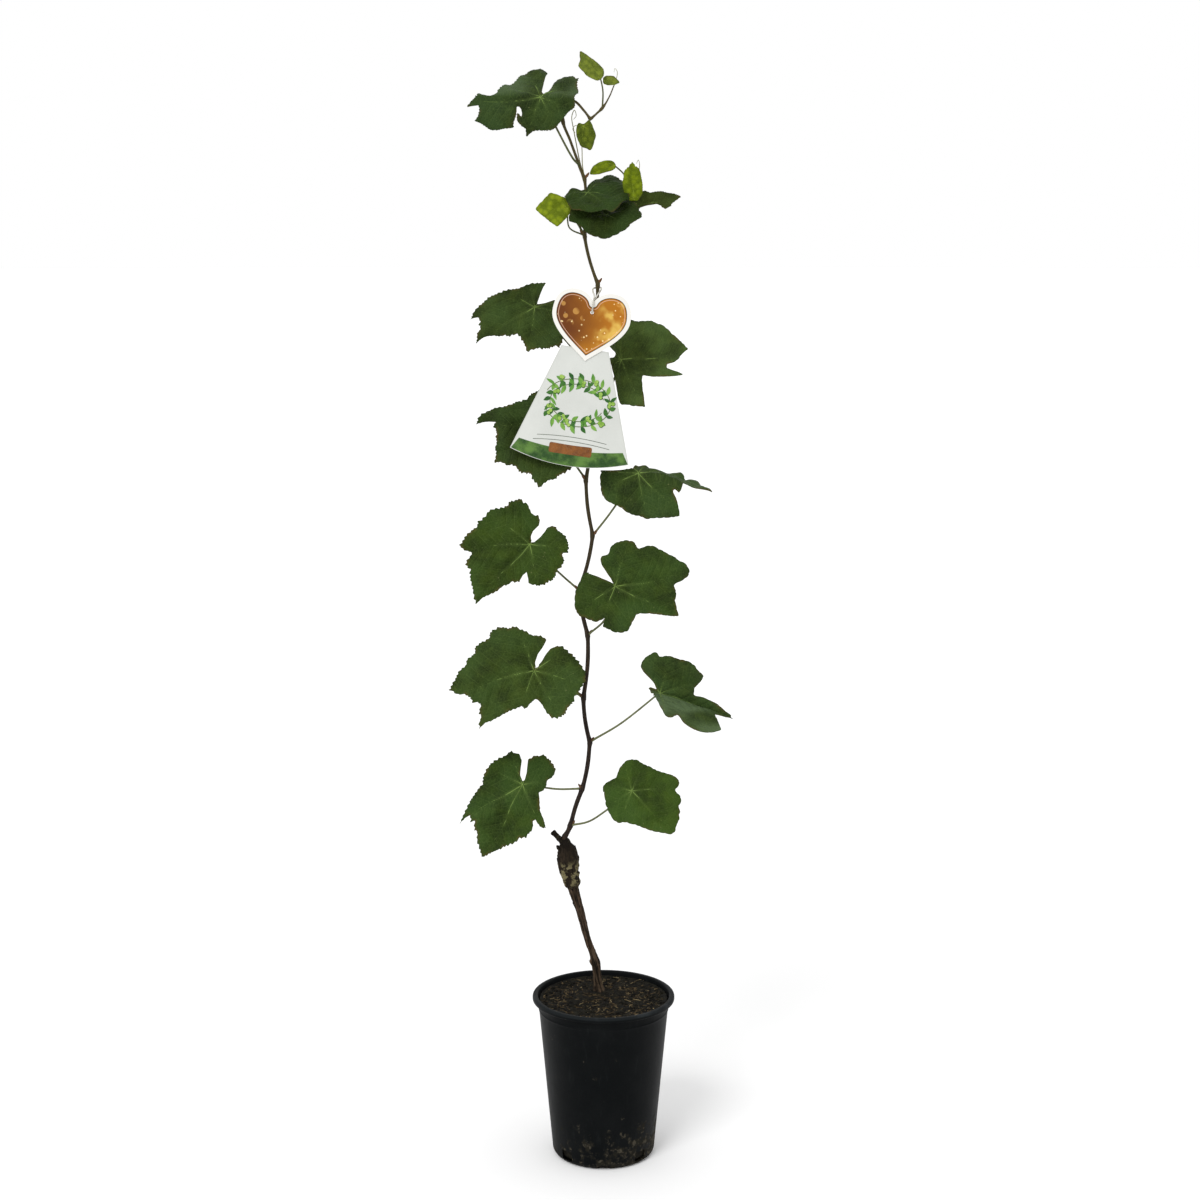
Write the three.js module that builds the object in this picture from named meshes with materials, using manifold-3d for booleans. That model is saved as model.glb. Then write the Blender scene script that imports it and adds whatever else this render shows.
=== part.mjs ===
// A young grapevine in a nursery pot: old rootstock with its graft head, one green shoot of the
// year, twenty leaves on their stalks and a hanging card label. Millimetres, +Z up. The origin
// is the centre of the pot's flat underside; the pot stands on it and -Y is the front.

import * as THREE from 'three';
import { mergeVertices } from 'three/addons/utils/BufferGeometryUtils.js';
import Module from 'manifold-3d';

// ---- driving dimensions -------------------------------------------------------------------

const GAP = 0.3; // clearance kept between pieces that touch

const POT = {
  height: 198,
  rimRadius: 85, // outside of the rolled rim
  rimHeight: 6,
  shoulderRadius: 78.3, // outside of the wall just under the rim
  wallFootRadius: 61.5, // outside of the wall where the bottom edge starts to round
  edgeRadius: 8, // rounding between wall and underside
  wall: 2,
  floor: 3,
  segments: 32,
};
const DRAIN = { count: 4, windowWidth: 16, windowBottom: 4, windowTop: 17, notchWidth: 15, notchHeight: 5 };
const SOIL = { belowRim: 8, crown: 2.5 }; // level at the wall, and how much higher the middle is

// Heights, and places across the plant, of the old wood from the soil to the graft head.
const TRUNK = [
  // [x, y, height above the soil, thickness]
  [-5.5, 25, 0, 14], // root flare at the flat cut
  [-6.5, 25, 9, 10.5],
  [-8, 24.5, 24, 9.6],
  [-9.5, 24, 36, 10.8], // an old bud, grown over
  [-13, 23, 48, 8.2],
  [-19, 21, 66, 7.8],
  [-28.5, 20, 104, 9.6],
  [-36.5, 20, 131, 12.5],
  [-39.5, 20, 143, 19],
  [-41.5, 20, 156, 24], // graft union
  [-42.5, 20, 168, 25],
  [-43.5, 20, 178, 20],
  [-46, 20, 187, 12],
  [-47, 20, 192, 7],
];
const STUB = [
  // the cut end of the scion above the graft
  [-46, 20, 184, 8],
  [-52, 19.5, 191, 7],
  [-61, 18, 201, 6.4],
];

const SHOOT_THICK = [5.6, 3.2]; // green shoot at the graft and at its last full leaf
// Joints of the green shoot from the graft upwards: [x, y, z]; it kinks at each of them.
const SHOOT = [
  [-46.5, 20, 386.5],
  [-39, 20, 401],
  [-25, 20, 446],
  [-16.5, 20, 503],
  [-24, 19, 557],
  [-18.5, 20, 632],
  [-28.5, 20, 685],
  [-12.5, 20, 750],
  [-20.5, 20, 815],
  [-15.5, 21, 878],
  [-16, 20, 942],
  [-7, 20, 1040],
  [-22, 21, 1094],
  [-21.5, 20, 1158],
  [-29.5, 18, 1177],
];
const BOW = 0.03; // sideways bow of each internode, as a share of its length
const SHOOT_SPLITS = {
  shoot_lower: [0, 4],
  shoot_middle: [4, 8],
  shoot_upper: [8, 11],
  shoot_neck: [11, 14],
};

// The nodding end of the shoot: up behind the top leaf, over, down and up again.
const NOD = [
  [-29.5, 18, 1177],
  [-38, 17, 1200],
  [-46, 16, 1221],
  [-44, 16, 1238],
  [-34, 16, 1243],
  [-22, 15, 1232],
  [-15, 14, 1222.5],
];
const TIP_SHOOT = [
  [-15, 14, 1222.5],
  [-8, 14, 1229],
  [-1.5, 14, 1235],
  [6, 14, 1247],
  [12, 14, 1261],
];
const SIDE_SHOOT = [
  [-19.5, 20, 1118],
  [-6, 18, 1124],
  [10, 17, 1129],
  [24, 17, 1133],
  [30, 17, 1137],
];

const BLADE = 1.2; // thickness of a leaf blade
const SWELL = 0.08; // how far the margin bulges between two of its corners, as a share of their distance
const STALK_THICK = [2.6, 2.0]; // a leaf stalk at the shoot and at its blade

// Leaves from the lowest up. `at` is where stalk and blade meet, `tip` the direction of the
// midrib seen from the front (degrees, anticlockwise from +X), `lean` how far the tip comes
// forward, `turn` how far the blade is rolled about its midrib (degrees), and `fold` how far the
// clockwise and the anticlockwise half stand up from the midrib. `lobes` holds each lobe's
// direction from the midrib and its reach, `cuts` how far the margin between them reaches as a
// share of the straight line that joins them, `bay` the reach of the bay where the stalk joins,
// `slope` how steeply the blade comes forward along the midrib and across it, and `dome` how much
// its edge falls away, as a share of the reach. `from` is the point of the shoot that the stalk
// grows on, `clear` the distance from there to its start, and `via` a point on its way.
const LEAVES = [
  {
    name: 'leaf_01', at: [33.3, -10, 451], tip: -44, lean: 8, turn: -8,
    fold: [10, 6], slope: [0.35, -0.25], bay: 22, dome: 0.1,
    lobes: [[-148, 34], [-104, 37], [-68, 42], [0, 70], [51, 60], [66, 47], [114, 34], [150, 35]],
    cuts: [1.05, 1.05, 0.97, 1.05, 0.97, 1.02, 1.02],
    from: SHOOT[1], clear: 4.4, via: [-16, 10, 409.1],
  },
  {
    name: 'leaf_02', at: [-96.7, 30, 447.9], tip: -119, lean: 6, turn: 6,
    fold: [6, 12], slope: [0.3, 0.2], bay: 3, dome: 0.08,
    lobes: [
      [-146, 28], [-132, 42], [-88, 45], [-58, 49], [-30, 90], [-24, 77],
      [0, 101], [56, 59], [132, 39], [166, 41], [194, 30],
    ],
    cuts: [1.05, 1.02, 1, 0.85, 0.85, 0.97, 0.8, 0.62, 1.08, 1.05],
    from: SHOOT[2], clear: 4, via: [-56.4, 38, 440.7],
  },
  {
    name: 'leaf_03', at: [66.1, 4, 565.6], tip: -20, lean: 10, turn: 0,
    fold: [70, 8], slope: [-0.3, 0.2], bay: 5, dome: 0.04,
    lobes: [
      [-170, 16], [-150, 18], [-70, 66], [-59, 90], [-30, 92], [0, 86],
      [42, 54], [62, 55], [96, 47], [128, 46], [144, 38],
    ],
    cuts: [1, 0.85, 1, 1.03, 0.8, 0.68, 1.03, 1.02, 1.03, 1.03],
    from: SHOOT[3], clear: 4, via: [20, 14, 526.5],
  },
  {
    name: 'leaf_04', at: [-81.2, -4, 594.1], tip: -134, lean: 8, turn: 5,
    fold: [5, 10], slope: [0.25, 0.35], bay: 3, dome: 0.08,
    lobes: [
      [-158, 38], [-114, 57], [-74, 68], [-33, 101], [0, 94],
      [24, 46], [74, 62], [118, 60], [166, 44], [184, 36],
    ],
    cuts: [1.1, 1.03, 1.03, 0.79, 0.98, 0.8, 1.03, 1.02, 1.05],
    from: SHOOT[4], clear: 4, via: [-49.9, 14, 574.6],
  },
  {
    name: 'leaf_05', at: [13.2, -9, 694.4], tip: -25, lean: 10, turn: -6,
    fold: [8, 10], slope: [0.35, -0.1], bay: 3, dome: 0.08,
    lobes: [
      [-194, 31], [-170, 44], [-118, 54], [-85, 50], [-60, 55], [0, 82],
      [35, 89], [66, 69], [98, 56], [123, 41], [144, 35],
    ],
    cuts: [1.05, 1.08, 0.85, 1.04, 0.65, 0.85, 1.02, 0.95, 0.98, 0.95],
    from: SHOOT[5], clear: 4, via: [2, 10, 652.7],
  },
  {
    name: 'leaf_06', at: [-86.4, 36, 736.9], tip: -132, lean: 6, turn: 6,
    fold: [8, 10], slope: [0.35, 0.3], bay: 3, dome: 0.08,
    lobes: [
      [-156, 28], [-124, 54], [-88, 62], [-47, 82], [0, 94], [26, 47],
      [56, 50], [92, 46], [122, 47], [157, 42], [174, 33],
    ],
    cuts: [1.02, 1.02, 1.02, 0.96, 0.98, 0.72, 1.03, 1.03, 1.02, 1.04],
    from: SHOOT[6], clear: 4, via: [-52.4, 42, 702.3],
  },
  {
    name: 'leaf_07', at: [40, 8, 823.8], tip: -17, lean: 4, turn: 0,
    fold: [4, -80], slope: [0.25, -0.3], bay: 14, dome: 0.05,
    lobes: [
      [-165, 47], [-140, 50], [-112, 45], [-60, 53], [-27, 69],
      [-8, 52], [0, 88], [26, 58], [80, 50], [128, 40],
    ],
    cuts: [1.03, 1.03, 1.06, 1.03, 0.8, 0.9, 0.95, 1, 1],
    from: SHOOT[7], clear: 4.6, via: [6, 20, 773.7],
  },
  {
    name: 'leaf_08', at: [-62.4, 30, 878.4], tip: -148, lean: 6, turn: 8,
    fold: [10, 8], slope: [0.35, 0.2], bay: 3, dome: 0.08,
    lobes: [[-108, 43], [-78, 40], [-52, 58], [-30, 84], [0, 77], [46, 76], [98, 50], [150, 38]],
    cuts: [0.98, 0.95, 1, 0.85, 0.88, 1.06, 1],
    from: SHOOT[8], clear: 5.2, via: [-42.3, 38, 844.2],
  },
  {
    name: 'leaf_09', at: [20.2, 36, 952.7], tip: 7, lean: 6, turn: 4,
    fold: [8, 8], slope: [0.3, -0.35], bay: 3, dome: 0.08,
    lobes: [
      [-152, 22], [-112, 50], [-70, 63], [-21, 73], [0, 79],
      [43, 55], [82, 47], [128, 34], [168, 14],
    ],
    cuts: [1.05, 1.02, 0.5, 0.77, 1.06, 1.04, 1.02, 1.1],
    from: SHOOT[9], clear: 5.8, via: [3.1, 38, 906.6],
  },
  {
    name: 'leaf_10', at: [-79.2, 36, 1012.6], tip: -148, lean: 8, turn: 6,
    fold: [6, 8], slope: [0.35, 0.3], bay: 4, dome: 0.08,
    lobes: [
      [-148, 32], [-112, 25], [-62, 34], [-22, 74], [0, 80],
      [47, 54], [90, 54], [138, 44], [160, 26],
    ],
    cuts: [1, 1.04, 1.14, 0.84, 0.7, 0.92, 1.05, 1.1],
    from: SHOOT[10], clear: 4.6, via: [-44.4, 44, 974.8],
  },
  {
    name: 'leaf_11', at: [-18, 2, 1142], tip: -90, lean: 58, turn: 0,
    fold: [4, 4], slope: [0, 0], bay: 6, dome: 0.06,
    lobes: [[-104, 18], [-70, 28], [-25, 40], [0, 35], [38, 36], [74, 44], [118, 46], [146, 46], [162, 34]],
    cuts: [1, 1.02, 1, 1, 1, 1.03, 1.03, 1.04],
    from: SHOOT[12], clear: 5.9, via: [-34, 15, 1121],
  },
  {
    name: 'leaf_12', at: [3.1, -8, 1116.9], tip: -90, lean: 50, turn: 0,
    fold: [18, 16], slope: [0, 0], bay: 8, dome: 0.16,
    lobes: [
      [-140, 32], [-108, 40], [-72, 46], [-36, 38], [-8, 37],
      [48, 34], [76, 43], [112, 37], [140, 34],
    ],
    cuts: [1.02, 1.03, 1.04, 1.04, 1.1, 0.98, 1, 1.02],
    from: SIDE_SHOOT[1], clear: 2.8, via: [-2, 10, 1114],
  },
  {
    name: 'leaf_13', at: [37, 16, 1126.5], tip: 14, lean: 8, turn: 0,
    fold: [-20, 20], slope: [0, 0], bay: 5, dome: 0.03,
    lobes: [[-50, 9], [-16, 32], [0, 52], [26, 30], [52, 19], [76, 11]],
    cuts: [0.75, 1, 1, 1.05, 1.05],
    from: SIDE_SHOOT[4], clear: 1.5, via: [33.5, 18.6, 1131],
  },
  {
    name: 'leaf_14', at: [-70.3, 2, 1245.9], tip: 178, lean: 6, turn: 0,
    fold: [-58, 6], slope: [0, 0], bay: 3, dome: 0.04,
    lobes: [
      [-101, 48], [-76, 56], [-20, 44], [9, 84], [33, 68],
      [70, 47], [116, 38], [160, 36], [218, 55], [243, 44],
    ],
    cuts: [1.04, 0.88, 0.95, 1, 0.5, 1.02, 1.04, 0.95, 1.02],
    from: [-27.6, 18.5, 1172.4], clear: 5.1, via: [-35, 9, 1180],
  },
];

// Young leaves, near the end of the shoot and on its short side shoot, with the same measures.
const YOUNG = [
  {
    name: 'young_leaf_1', at: [-40.5, -3.6, 1124], tip: 180, lean: 6, turn: 8,
    fold: [6, 6], slope: [0, 0], bay: 7, dome: 0.1,
    lobes: [[-88, 11], [-43, 26], [0, 36], [59, 24], [84, 10]],
    cuts: [1, 1, 1, 1],
    from: SHOOT[12], clear: 3.6, via: [-39, 9, 1103],
  },
  {
    name: 'young_leaf_2', at: [33.5, 0, 1134.5], tip: 92, lean: 6, turn: 0,
    fold: [10, 10], slope: [0, 0], bay: 2, dome: 0.08,
    lobes: [[-100, 4], [-40, 15], [-17, 30], [0, 36], [17, 30], [40, 16], [100, 4]],
    cuts: [1.1, 1.03, 1.03, 1.03, 1.03, 1.1],
    from: SIDE_SHOOT[3], clear: 3, via: [29, 10, 1134],
  },
  {
    name: 'young_leaf_3', at: [12, 10, 1172], tip: 200, lean: 4, turn: 8,
    fold: [8, 8], slope: [0, 0], bay: 2, dome: 0.06,
    lobes: [[-90, 5], [-42, 13], [-18, 24], [0, 30], [12, 20], [44, 7], [90, 4]],
    cuts: [1.1, 1.05, 1.03, 1, 1, 1.1],
    from: SIDE_SHOOT[3], clear: 3, via: [27, 20, 1156],
  },
  {
    name: 'young_leaf_4', at: [-22.7, 6, 1214.8], tip: -73, lean: 4, turn: 8,
    fold: [8, 8], slope: [0, 0], bay: 2, dome: 0.06,
    lobes: [[-145, 7], [-82, 9], [-46, 15], [-24, 23], [0, 28], [38, 17], [118, 10]],
    cuts: [1.1, 1.05, 1, 0.97, 1.05, 1.05],
    from: NOD[6], clear: 2, via: [-18, 10, 1220],
  },
  {
    name: 'young_leaf_5', at: [-3.6, 6, 1267.8], tip: 128, lean: 6, turn: 6,
    fold: [10, 10], slope: [0, 0], bay: 2, dome: 0.06,
    lobes: [[-90, 5], [-58, 10], [-20, 19], [0, 37], [27, 29], [46, 15], [100, 5]],
    cuts: [1.05, 1, 1, 0.92, 1, 1.05],
    from: TIP_SHOOT[2], clear: 3.6, via: [-1, 13, 1254],
  },
  {
    name: 'young_leaf_6', at: [0.5, 11, 1265], tip: -8, lean: 6, turn: 8,
    fold: [10, 10], slope: [0, 0], bay: 1.5, dome: 0.06,
    lobes: [[-110, 3.5], [-50, 6], [-18, 12], [0, 18], [32, 12], [74, 6], [120, 3.5]],
    cuts: [1.05, 1.02, 1, 1, 1.02, 1.05],
  },
];

const TAG = {
  thick: 0.8,
  front: -16, // where the faces of heart and card lie
  lean: -8.5, // degrees that the label hangs off the vertical, foot to the left
  heartAt: [-15.5, 993], // centre of the heart
  heartWide: 89,
  heartTall: 79,
  cardTop: [-21, 968], // middle of the card's top edge
  cardTopWide: 54,
  cardFootWide: 137,
  cardTall: 124,
  cardSag: 11, // how far the card's foot curves down
  holeRadius: 2,
  holeUp: 15.8, // from the heart's centre up to the hole
  cleftUp: 26, // and up to the cleft between its lobes
};
const LOOP = { thick: 1.2, around: [-7.5, 20, 1034], reach: [4.6, 3.9], sides: 5, steps: 24 };

// ---- helpers ------------------------------------------------------------------------------

const wasm = await Module();
wasm.setup();

const toSolid = (geometry) => {
  const bare = geometry.clone();
  for (const name of ['normal', 'uv']) bare.deleteAttribute(name);
  const merged = mergeVertices(bare, 1e-4);
  const vertProperties = new Float32Array(merged.attributes.position.array);
  const triVerts = new Uint32Array(merged.index.array);
  return new wasm.Manifold(new wasm.Mesh({ numProp: 3, vertProperties, triVerts }));
};

const toGeometry = (solid) => {
  const mesh = solid.getMesh();
  const geometry = new THREE.BufferGeometry();
  geometry.setAttribute('position', new THREE.BufferAttribute(mesh.vertProperties, 3));
  geometry.setIndex(new THREE.BufferAttribute(mesh.triVerts, 1));
  return geometry;
};

const indexed = (points, faces) => {
  const geometry = new THREE.BufferGeometry();
  geometry.setAttribute('position', new THREE.Float32BufferAttribute(points.flatMap((p) => p.toArray()), 3));
  geometry.setIndex(faces.flat());
  return geometry;
};

const vector = (list) => new THREE.Vector3(...list);
const radians = THREE.MathUtils.degToRad;

// A closed limb of round section along a list of stations {at, radius}.
const limb = (stations, sides) => {
  const points = [];
  const faces = [];
  const count = stations.length;
  let across = new THREE.Vector3(0, 1, 0);
  stations.forEach(({ at, radius }, i) => {
    const before = stations[Math.max(i - 1, 0)].at;
    const after = stations[Math.min(i + 1, count - 1)].at;
    const along = after.clone().sub(before).normalize();
    across = across.clone().addScaledVector(along, -across.dot(along)).normalize();
    const side = along.clone().cross(across);
    for (let k = 0; k < sides; k += 1) {
      const turn = (2 * Math.PI * k) / sides;
      const out = across.clone().multiplyScalar(Math.cos(turn)).addScaledVector(side, Math.sin(turn));
      points.push(at.clone().addScaledVector(out, radius));
    }
  });
  for (let i = 0; i + 1 < count; i += 1) {
    for (let k = 0; k < sides; k += 1) {
      const a = i * sides + k;
      const b = i * sides + ((k + 1) % sides);
      faces.push([a, b, b + sides], [a, b + sides, a + sides]);
    }
  }
  const last = (count - 1) * sides;
  for (let k = 1; k + 1 < sides; k += 1) {
    faces.push([0, k + 1, k], [last, last + k, last + k + 1]);
  }
  return indexed(points, faces);
};

// ---- pot and soil -------------------------------------------------------------------------

const wallRadiusAt = (z) => {
  const share = (z - POT.edgeRadius) / (POT.height - POT.rimHeight - POT.edgeRadius);
  return THREE.MathUtils.lerp(POT.wallFootRadius, POT.shoulderRadius, share);
};

const lathe = (profile) =>
  new THREE.LatheGeometry(profile.map(([r, z]) => new THREE.Vector2(r, z)), POT.segments)
    .rotateX(Math.PI / 2);

const drainCutters = () => {
  const { count, windowWidth, windowBottom, windowTop, notchWidth, notchHeight } = DRAIN;
  const reach = 2 * POT.edgeRadius;
  const cutters = [];
  for (let i = 0; i < count; i += 1) {
    const turn = (2 * Math.PI * i) / count;
    const notch = new THREE.BoxGeometry(reach, notchWidth, 2 * notchHeight);
    notch.translate(POT.wallFootRadius, 0, 0).rotateZ(turn);
    const opening = new THREE.BoxGeometry(reach, windowWidth, windowTop - windowBottom);
    opening.translate(POT.wallFootRadius, 0, (windowTop + windowBottom) / 2).rotateZ(turn + Math.PI / count);
    cutters.push(notch, opening);
  }
  return cutters;
};

const potGeometry = () => {
  const { height, rimRadius, rimHeight, wallFootRadius, edgeRadius, wall, floor } = POT;
  const under = height - rimHeight;
  const corner = wallFootRadius - edgeRadius;
  const rounding = [1, 2, 3].map((i) => {
    const turn = (i * Math.PI) / 8;
    return [corner + edgeRadius * Math.sin(turn), edgeRadius * (1 - Math.cos(turn))];
  });
  const profile = [
    [0, 0],
    [corner, 0],
    ...rounding,
    [wallFootRadius, edgeRadius],
    [POT.shoulderRadius, under],
    [rimRadius - 1.5, under],
    [rimRadius, under + 1.5],
    [rimRadius, height - 2],
    [rimRadius - 2, height],
    [rimRadius - 4.5, height],
    [wallRadiusAt(height - 4) - wall, height - 4],
    [wallFootRadius - wall, edgeRadius],
    [corner, floor],
    [0, floor],
  ];
  let pot = toSolid(lathe(profile));
  for (const cutter of drainCutters()) pot = pot.subtract(toSolid(cutter));
  return toGeometry(pot);
};

const soilGeometry = () => {
  const { height, wallFootRadius, edgeRadius, wall, floor } = POT;
  const level = height - SOIL.belowRim;
  const edge = wallRadiusAt(level) - wall - GAP;
  const corner = wallFootRadius - edgeRadius - GAP;
  return lathe([
    [0, floor + GAP],
    [corner, floor + GAP],
    [wallFootRadius - wall - GAP, edgeRadius + GAP],
    [edge, level],
    [0.6 * edge, level + 0.7 * SOIL.crown],
    [0, level + SOIL.crown],
  ]);
};

const soilTopAt = (radius) => {
  const level = POT.height - SOIL.belowRim;
  const edge = wallRadiusAt(level) - POT.wall - GAP;
  const knee = 0.6 * edge;
  if (radius > knee) return level + 0.7 * SOIL.crown * ((edge - radius) / (edge - knee));
  return level + SOIL.crown * (1 - 0.3 * (radius / knee));
};

// ---- wood ---------------------------------------------------------------------------------

const trunkGeometry = () => {
  const [footX, footY, , footThick] = TRUNK[0];
  const foot = soilTopAt(Math.hypot(footX, footY) - footThick / 2) + GAP;
  const station = ([x, y, up, thick]) => ({ at: new THREE.Vector3(x, y, foot + up), radius: thick / 2 });
  const main = limb(TRUNK.map(station), 9);
  const level = main.attributes.position;
  for (let k = 0; k < 9; k += 1) level.setZ(k, foot); // the flat cut at the soil
  const stub = limb(STUB.map(station), 7);
  return toGeometry(toSolid(main).add(toSolid(stub)));
};

// Stations along a kinked shoot: straight to slightly bowed internodes, swollen at each joint.
const shootStations = (joints, thickness, swell, steps) => {
  const stations = [];
  const points = joints.map(vector);
  points.forEach((from, i) => {
    const to = points[i + 1];
    const radius = (share) => thickness((i + share) / (points.length - 1)) / 2;
    stations.push({ at: from, radius: radius(0) * swell });
    if (!to) return;
    const side = new THREE.Vector3(i % 2 ? -1 : 1, 0, 0).multiplyScalar(BOW * from.distanceTo(to));
    for (let k = 1; k < steps; k += 1) {
      const share = k / steps;
      const at = from.clone().lerp(to, share).addScaledVector(side, Math.sin(Math.PI * share));
      stations.push({ at, radius: radius(share) });
    }
  });
  return stations;
};

const shootThickness = (share) => THREE.MathUtils.lerp(...SHOOT_THICK, share);

const shootGeometry = ([first, last]) => {
  const steps = 3;
  const all = shootStations(SHOOT, shootThickness, 1.2, steps);
  const run = all.slice(first * steps, last * steps + 1)
    .map(({ at, radius }) => ({ at: at.clone(), radius }));
  for (const [end, inner] of [[0, 1], [run.length - 1, run.length - 2]]) {
    const inward = run[inner].at.clone().sub(run[end].at).normalize();
    run[end].at.addScaledVector(inward, 2.5 * GAP);
  }
  return limb(run, 8);
};

const softLimb = (points, thick, sides, steps) => {
  const curve = new THREE.CatmullRomCurve3(points);
  const stations = [];
  for (let k = 0; k <= steps; k += 1) {
    stations.push({ at: curve.getPoint(k / steps), radius: THREE.MathUtils.lerp(...thick, k / steps) / 2 });
  }
  return limb(stations, sides);
};

const trimmed = (points, length) => {
  const run = points.map(vector);
  run[0].addScaledVector(run[1].clone().sub(run[0]).normalize(), length);
  return run;
};

// ---- leaves -------------------------------------------------------------------------------

const polar = (degrees, reach) =>
  new THREE.Vector2(Math.cos(radians(degrees)), Math.sin(radians(degrees))).multiplyScalar(reach);

const turnBetween = (from, to) => Math.atan2(from.cross(to), from.dot(to));

// The flat outline round the stalk: lobe tips joined to the bays between them by curves that
// swell outwards. `u` runs along the midrib and `v` across it.
const outline = ({ lobes, cuts, bay }, steps) => {
  const first = lobes[0][0];
  const last = lobes[lobes.length - 1][0];
  const back = (first + last + 360) / 2;
  const corners = [[back - 360, bay]];
  lobes.forEach(([angle, reach], i) => {
    corners.push([angle, reach]);
    const next = lobes[i + 1];
    if (!next) return;
    const share = reach / (reach + next[1]);
    const straight = polar(angle, reach).lerp(polar(...next), share);
    const middle = angle + THREE.MathUtils.radToDeg(turnBetween(polar(angle, 1), straight));
    corners.push([middle, cuts[i] * straight.length()]);
  });
  corners.push([back, bay]);
  const points = [];
  for (let i = 0; i + 1 < corners.length; i += 1) {
    const from = polar(...corners[i]);
    const to = polar(...corners[i + 1]);
    const edge = to.clone().sub(from);
    const beside = i === 0 || i + 2 === corners.length; // the two edges of the stalk's own bay
    const swell = new THREE.Vector2(edge.y, -edge.x).multiplyScalar(beside ? 0 : SWELL);
    const control = from.clone().add(to).multiplyScalar(0.5).add(swell);
    const curve = new THREE.QuadraticBezierCurve(from, control, to);
    for (let k = 0; k < steps; k += 1) points.push(curve.getPoint(k / steps));
  }
  return points;
};

// Bends a flat place (u, v) of the blade into space, in the blade's own axes.
const bend = ({ lobes, fold, dome, slope }, u, v) => {
  const reach = Math.max(...lobes.map(([, length]) => length));
  const side = v < 0 ? fold[0] : fold[1];
  const width = Math.abs(v);
  const soft = Math.sqrt(width * width + 4) - 2; // the crease is rounded, not sharp
  const hang = slope[0] * u + slope[1] * v - (dome * (u * u + v * v)) / reach;
  const lift = soft * Math.sin(radians(side)) + hang;
  return new THREE.Vector3(u, Math.sign(v) * (width - soft * (1 - Math.cos(radians(side)))), lift);
};

const bladeAxes = ({ tip, lean, turn }) => {
  const along = new THREE.Vector3(Math.cos(radians(tip)), 0, Math.sin(radians(tip)));
  const face = new THREE.Vector3(0, -1, 0);
  const across = face.clone().cross(along);
  along.applyAxisAngle(across, -radians(lean));
  face.applyAxisAngle(across, -radians(lean));
  across.applyAxisAngle(along, radians(turn));
  face.applyAxisAngle(along, radians(turn));
  return new THREE.Matrix4().makeBasis(along, across, face);
};

const bladeGeometry = (leaf, steps, rings) => {
  const rim = outline(leaf, steps);
  const place = bladeAxes(leaf).setPosition(vector(leaf.at));
  const skin = (offset) => {
    const points = [new THREE.Vector3(0, 0, offset)];
    for (let ring = 1; ring <= rings; ring += 1) {
      const share = ring / rings;
      for (const point of rim) {
        const bent = bend(leaf, point.x * share, point.y * share);
        points.push(bent.add(new THREE.Vector3(0, 0, offset)));
      }
    }
    return points.map((point) => point.applyMatrix4(place));
  };
  const points = [...skin(BLADE / 2), ...skin(-BLADE / 2)];
  const half = points.length / 2;
  const around = rim.length;
  const faces = [];
  for (let k = 0; k < around; k += 1) {
    const next = (k + 1) % around;
    faces.push([0, 1 + k, 1 + next], [half, half + 1 + next, half + 1 + k]);
    for (let ring = 0; ring + 1 < rings; ring += 1) {
      const a = 1 + ring * around + k;
      const b = 1 + ring * around + next;
      faces.push([a, a + around, b + around], [a, b + around, b]);
      faces.push([half + a, half + b + around, half + a + around], [half + a, half + b, half + b + around]);
    }
    const edge = 1 + (rings - 1) * around;
    faces.push([edge + k, half + edge + k, half + edge + next], [edge + k, half + edge + next, edge + next]);
  }
  return indexed(points, faces);
};

// The stalk ends behind the blade, clear of its underside.
const stalkGeometry = (leaf) => {
  const behind = new THREE.Vector3(0, 0, -(BLADE / 2 + 1.5 * GAP + STALK_THICK[1] / 2));
  const end = behind.applyMatrix4(bladeAxes(leaf)).add(vector(leaf.at));
  const start = vector(leaf.from);
  const via = vector(leaf.via);
  start.addScaledVector(via.clone().sub(start).normalize(), leaf.clear);
  return softLimb([start, via, end], STALK_THICK, 6, 6);
};

// ---- label --------------------------------------------------------------------------------

const plate = (shape, back) => {
  const layer = { depth: TAG.thick, bevelEnabled: false, curveSegments: 5 };
  const geometry = new THREE.ExtrudeGeometry(shape, layer);
  return geometry.rotateX(Math.PI / 2).translate(0, back, 0);
};

const tilt = (geometry, [x, z]) => geometry.rotateY(radians(-TAG.lean)).translate(x, 0, z);

const heartGeometry = () => {
  const w = TAG.heartWide / 2;
  const h = TAG.heartTall / 2;
  const heart = new THREE.Shape();
  heart.moveTo(0, -h);
  heart.bezierCurveTo(0.25 * w, -0.72 * h, w, -0.25 * h, w, 0.3 * h);
  heart.bezierCurveTo(w, 0.85 * h, 0.72 * w, h, 0.5 * w, h);
  heart.bezierCurveTo(0.26 * w, h, 0.06 * w, 0.86 * h, 0, TAG.cleftUp);
  heart.bezierCurveTo(-0.06 * w, 0.86 * h, -0.26 * w, h, -0.5 * w, h);
  heart.bezierCurveTo(-0.72 * w, h, -w, 0.85 * h, -w, 0.3 * h);
  heart.bezierCurveTo(-w, -0.25 * h, -0.25 * w, -0.72 * h, 0, -h);
  const hole = new THREE.Path();
  hole.absarc(0, TAG.holeUp, TAG.holeRadius, 0, 2 * Math.PI, true);
  heart.holes.push(hole);
  return tilt(plate(heart, TAG.front + TAG.thick), TAG.heartAt);
};

const cardGeometry = () => {
  const top = TAG.cardTopWide / 2;
  const foot = TAG.cardFootWide / 2;
  const card = new THREE.Shape();
  card.moveTo(-top, 0);
  card.lineTo(-foot, -TAG.cardTall);
  card.quadraticCurveTo(0, -TAG.cardTall - 2 * TAG.cardSag, foot, -TAG.cardTall);
  card.lineTo(top, 0);
  card.closePath();
  return tilt(plate(card, TAG.front + 2 * TAG.thick + GAP), TAG.cardTop);
};

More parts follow.
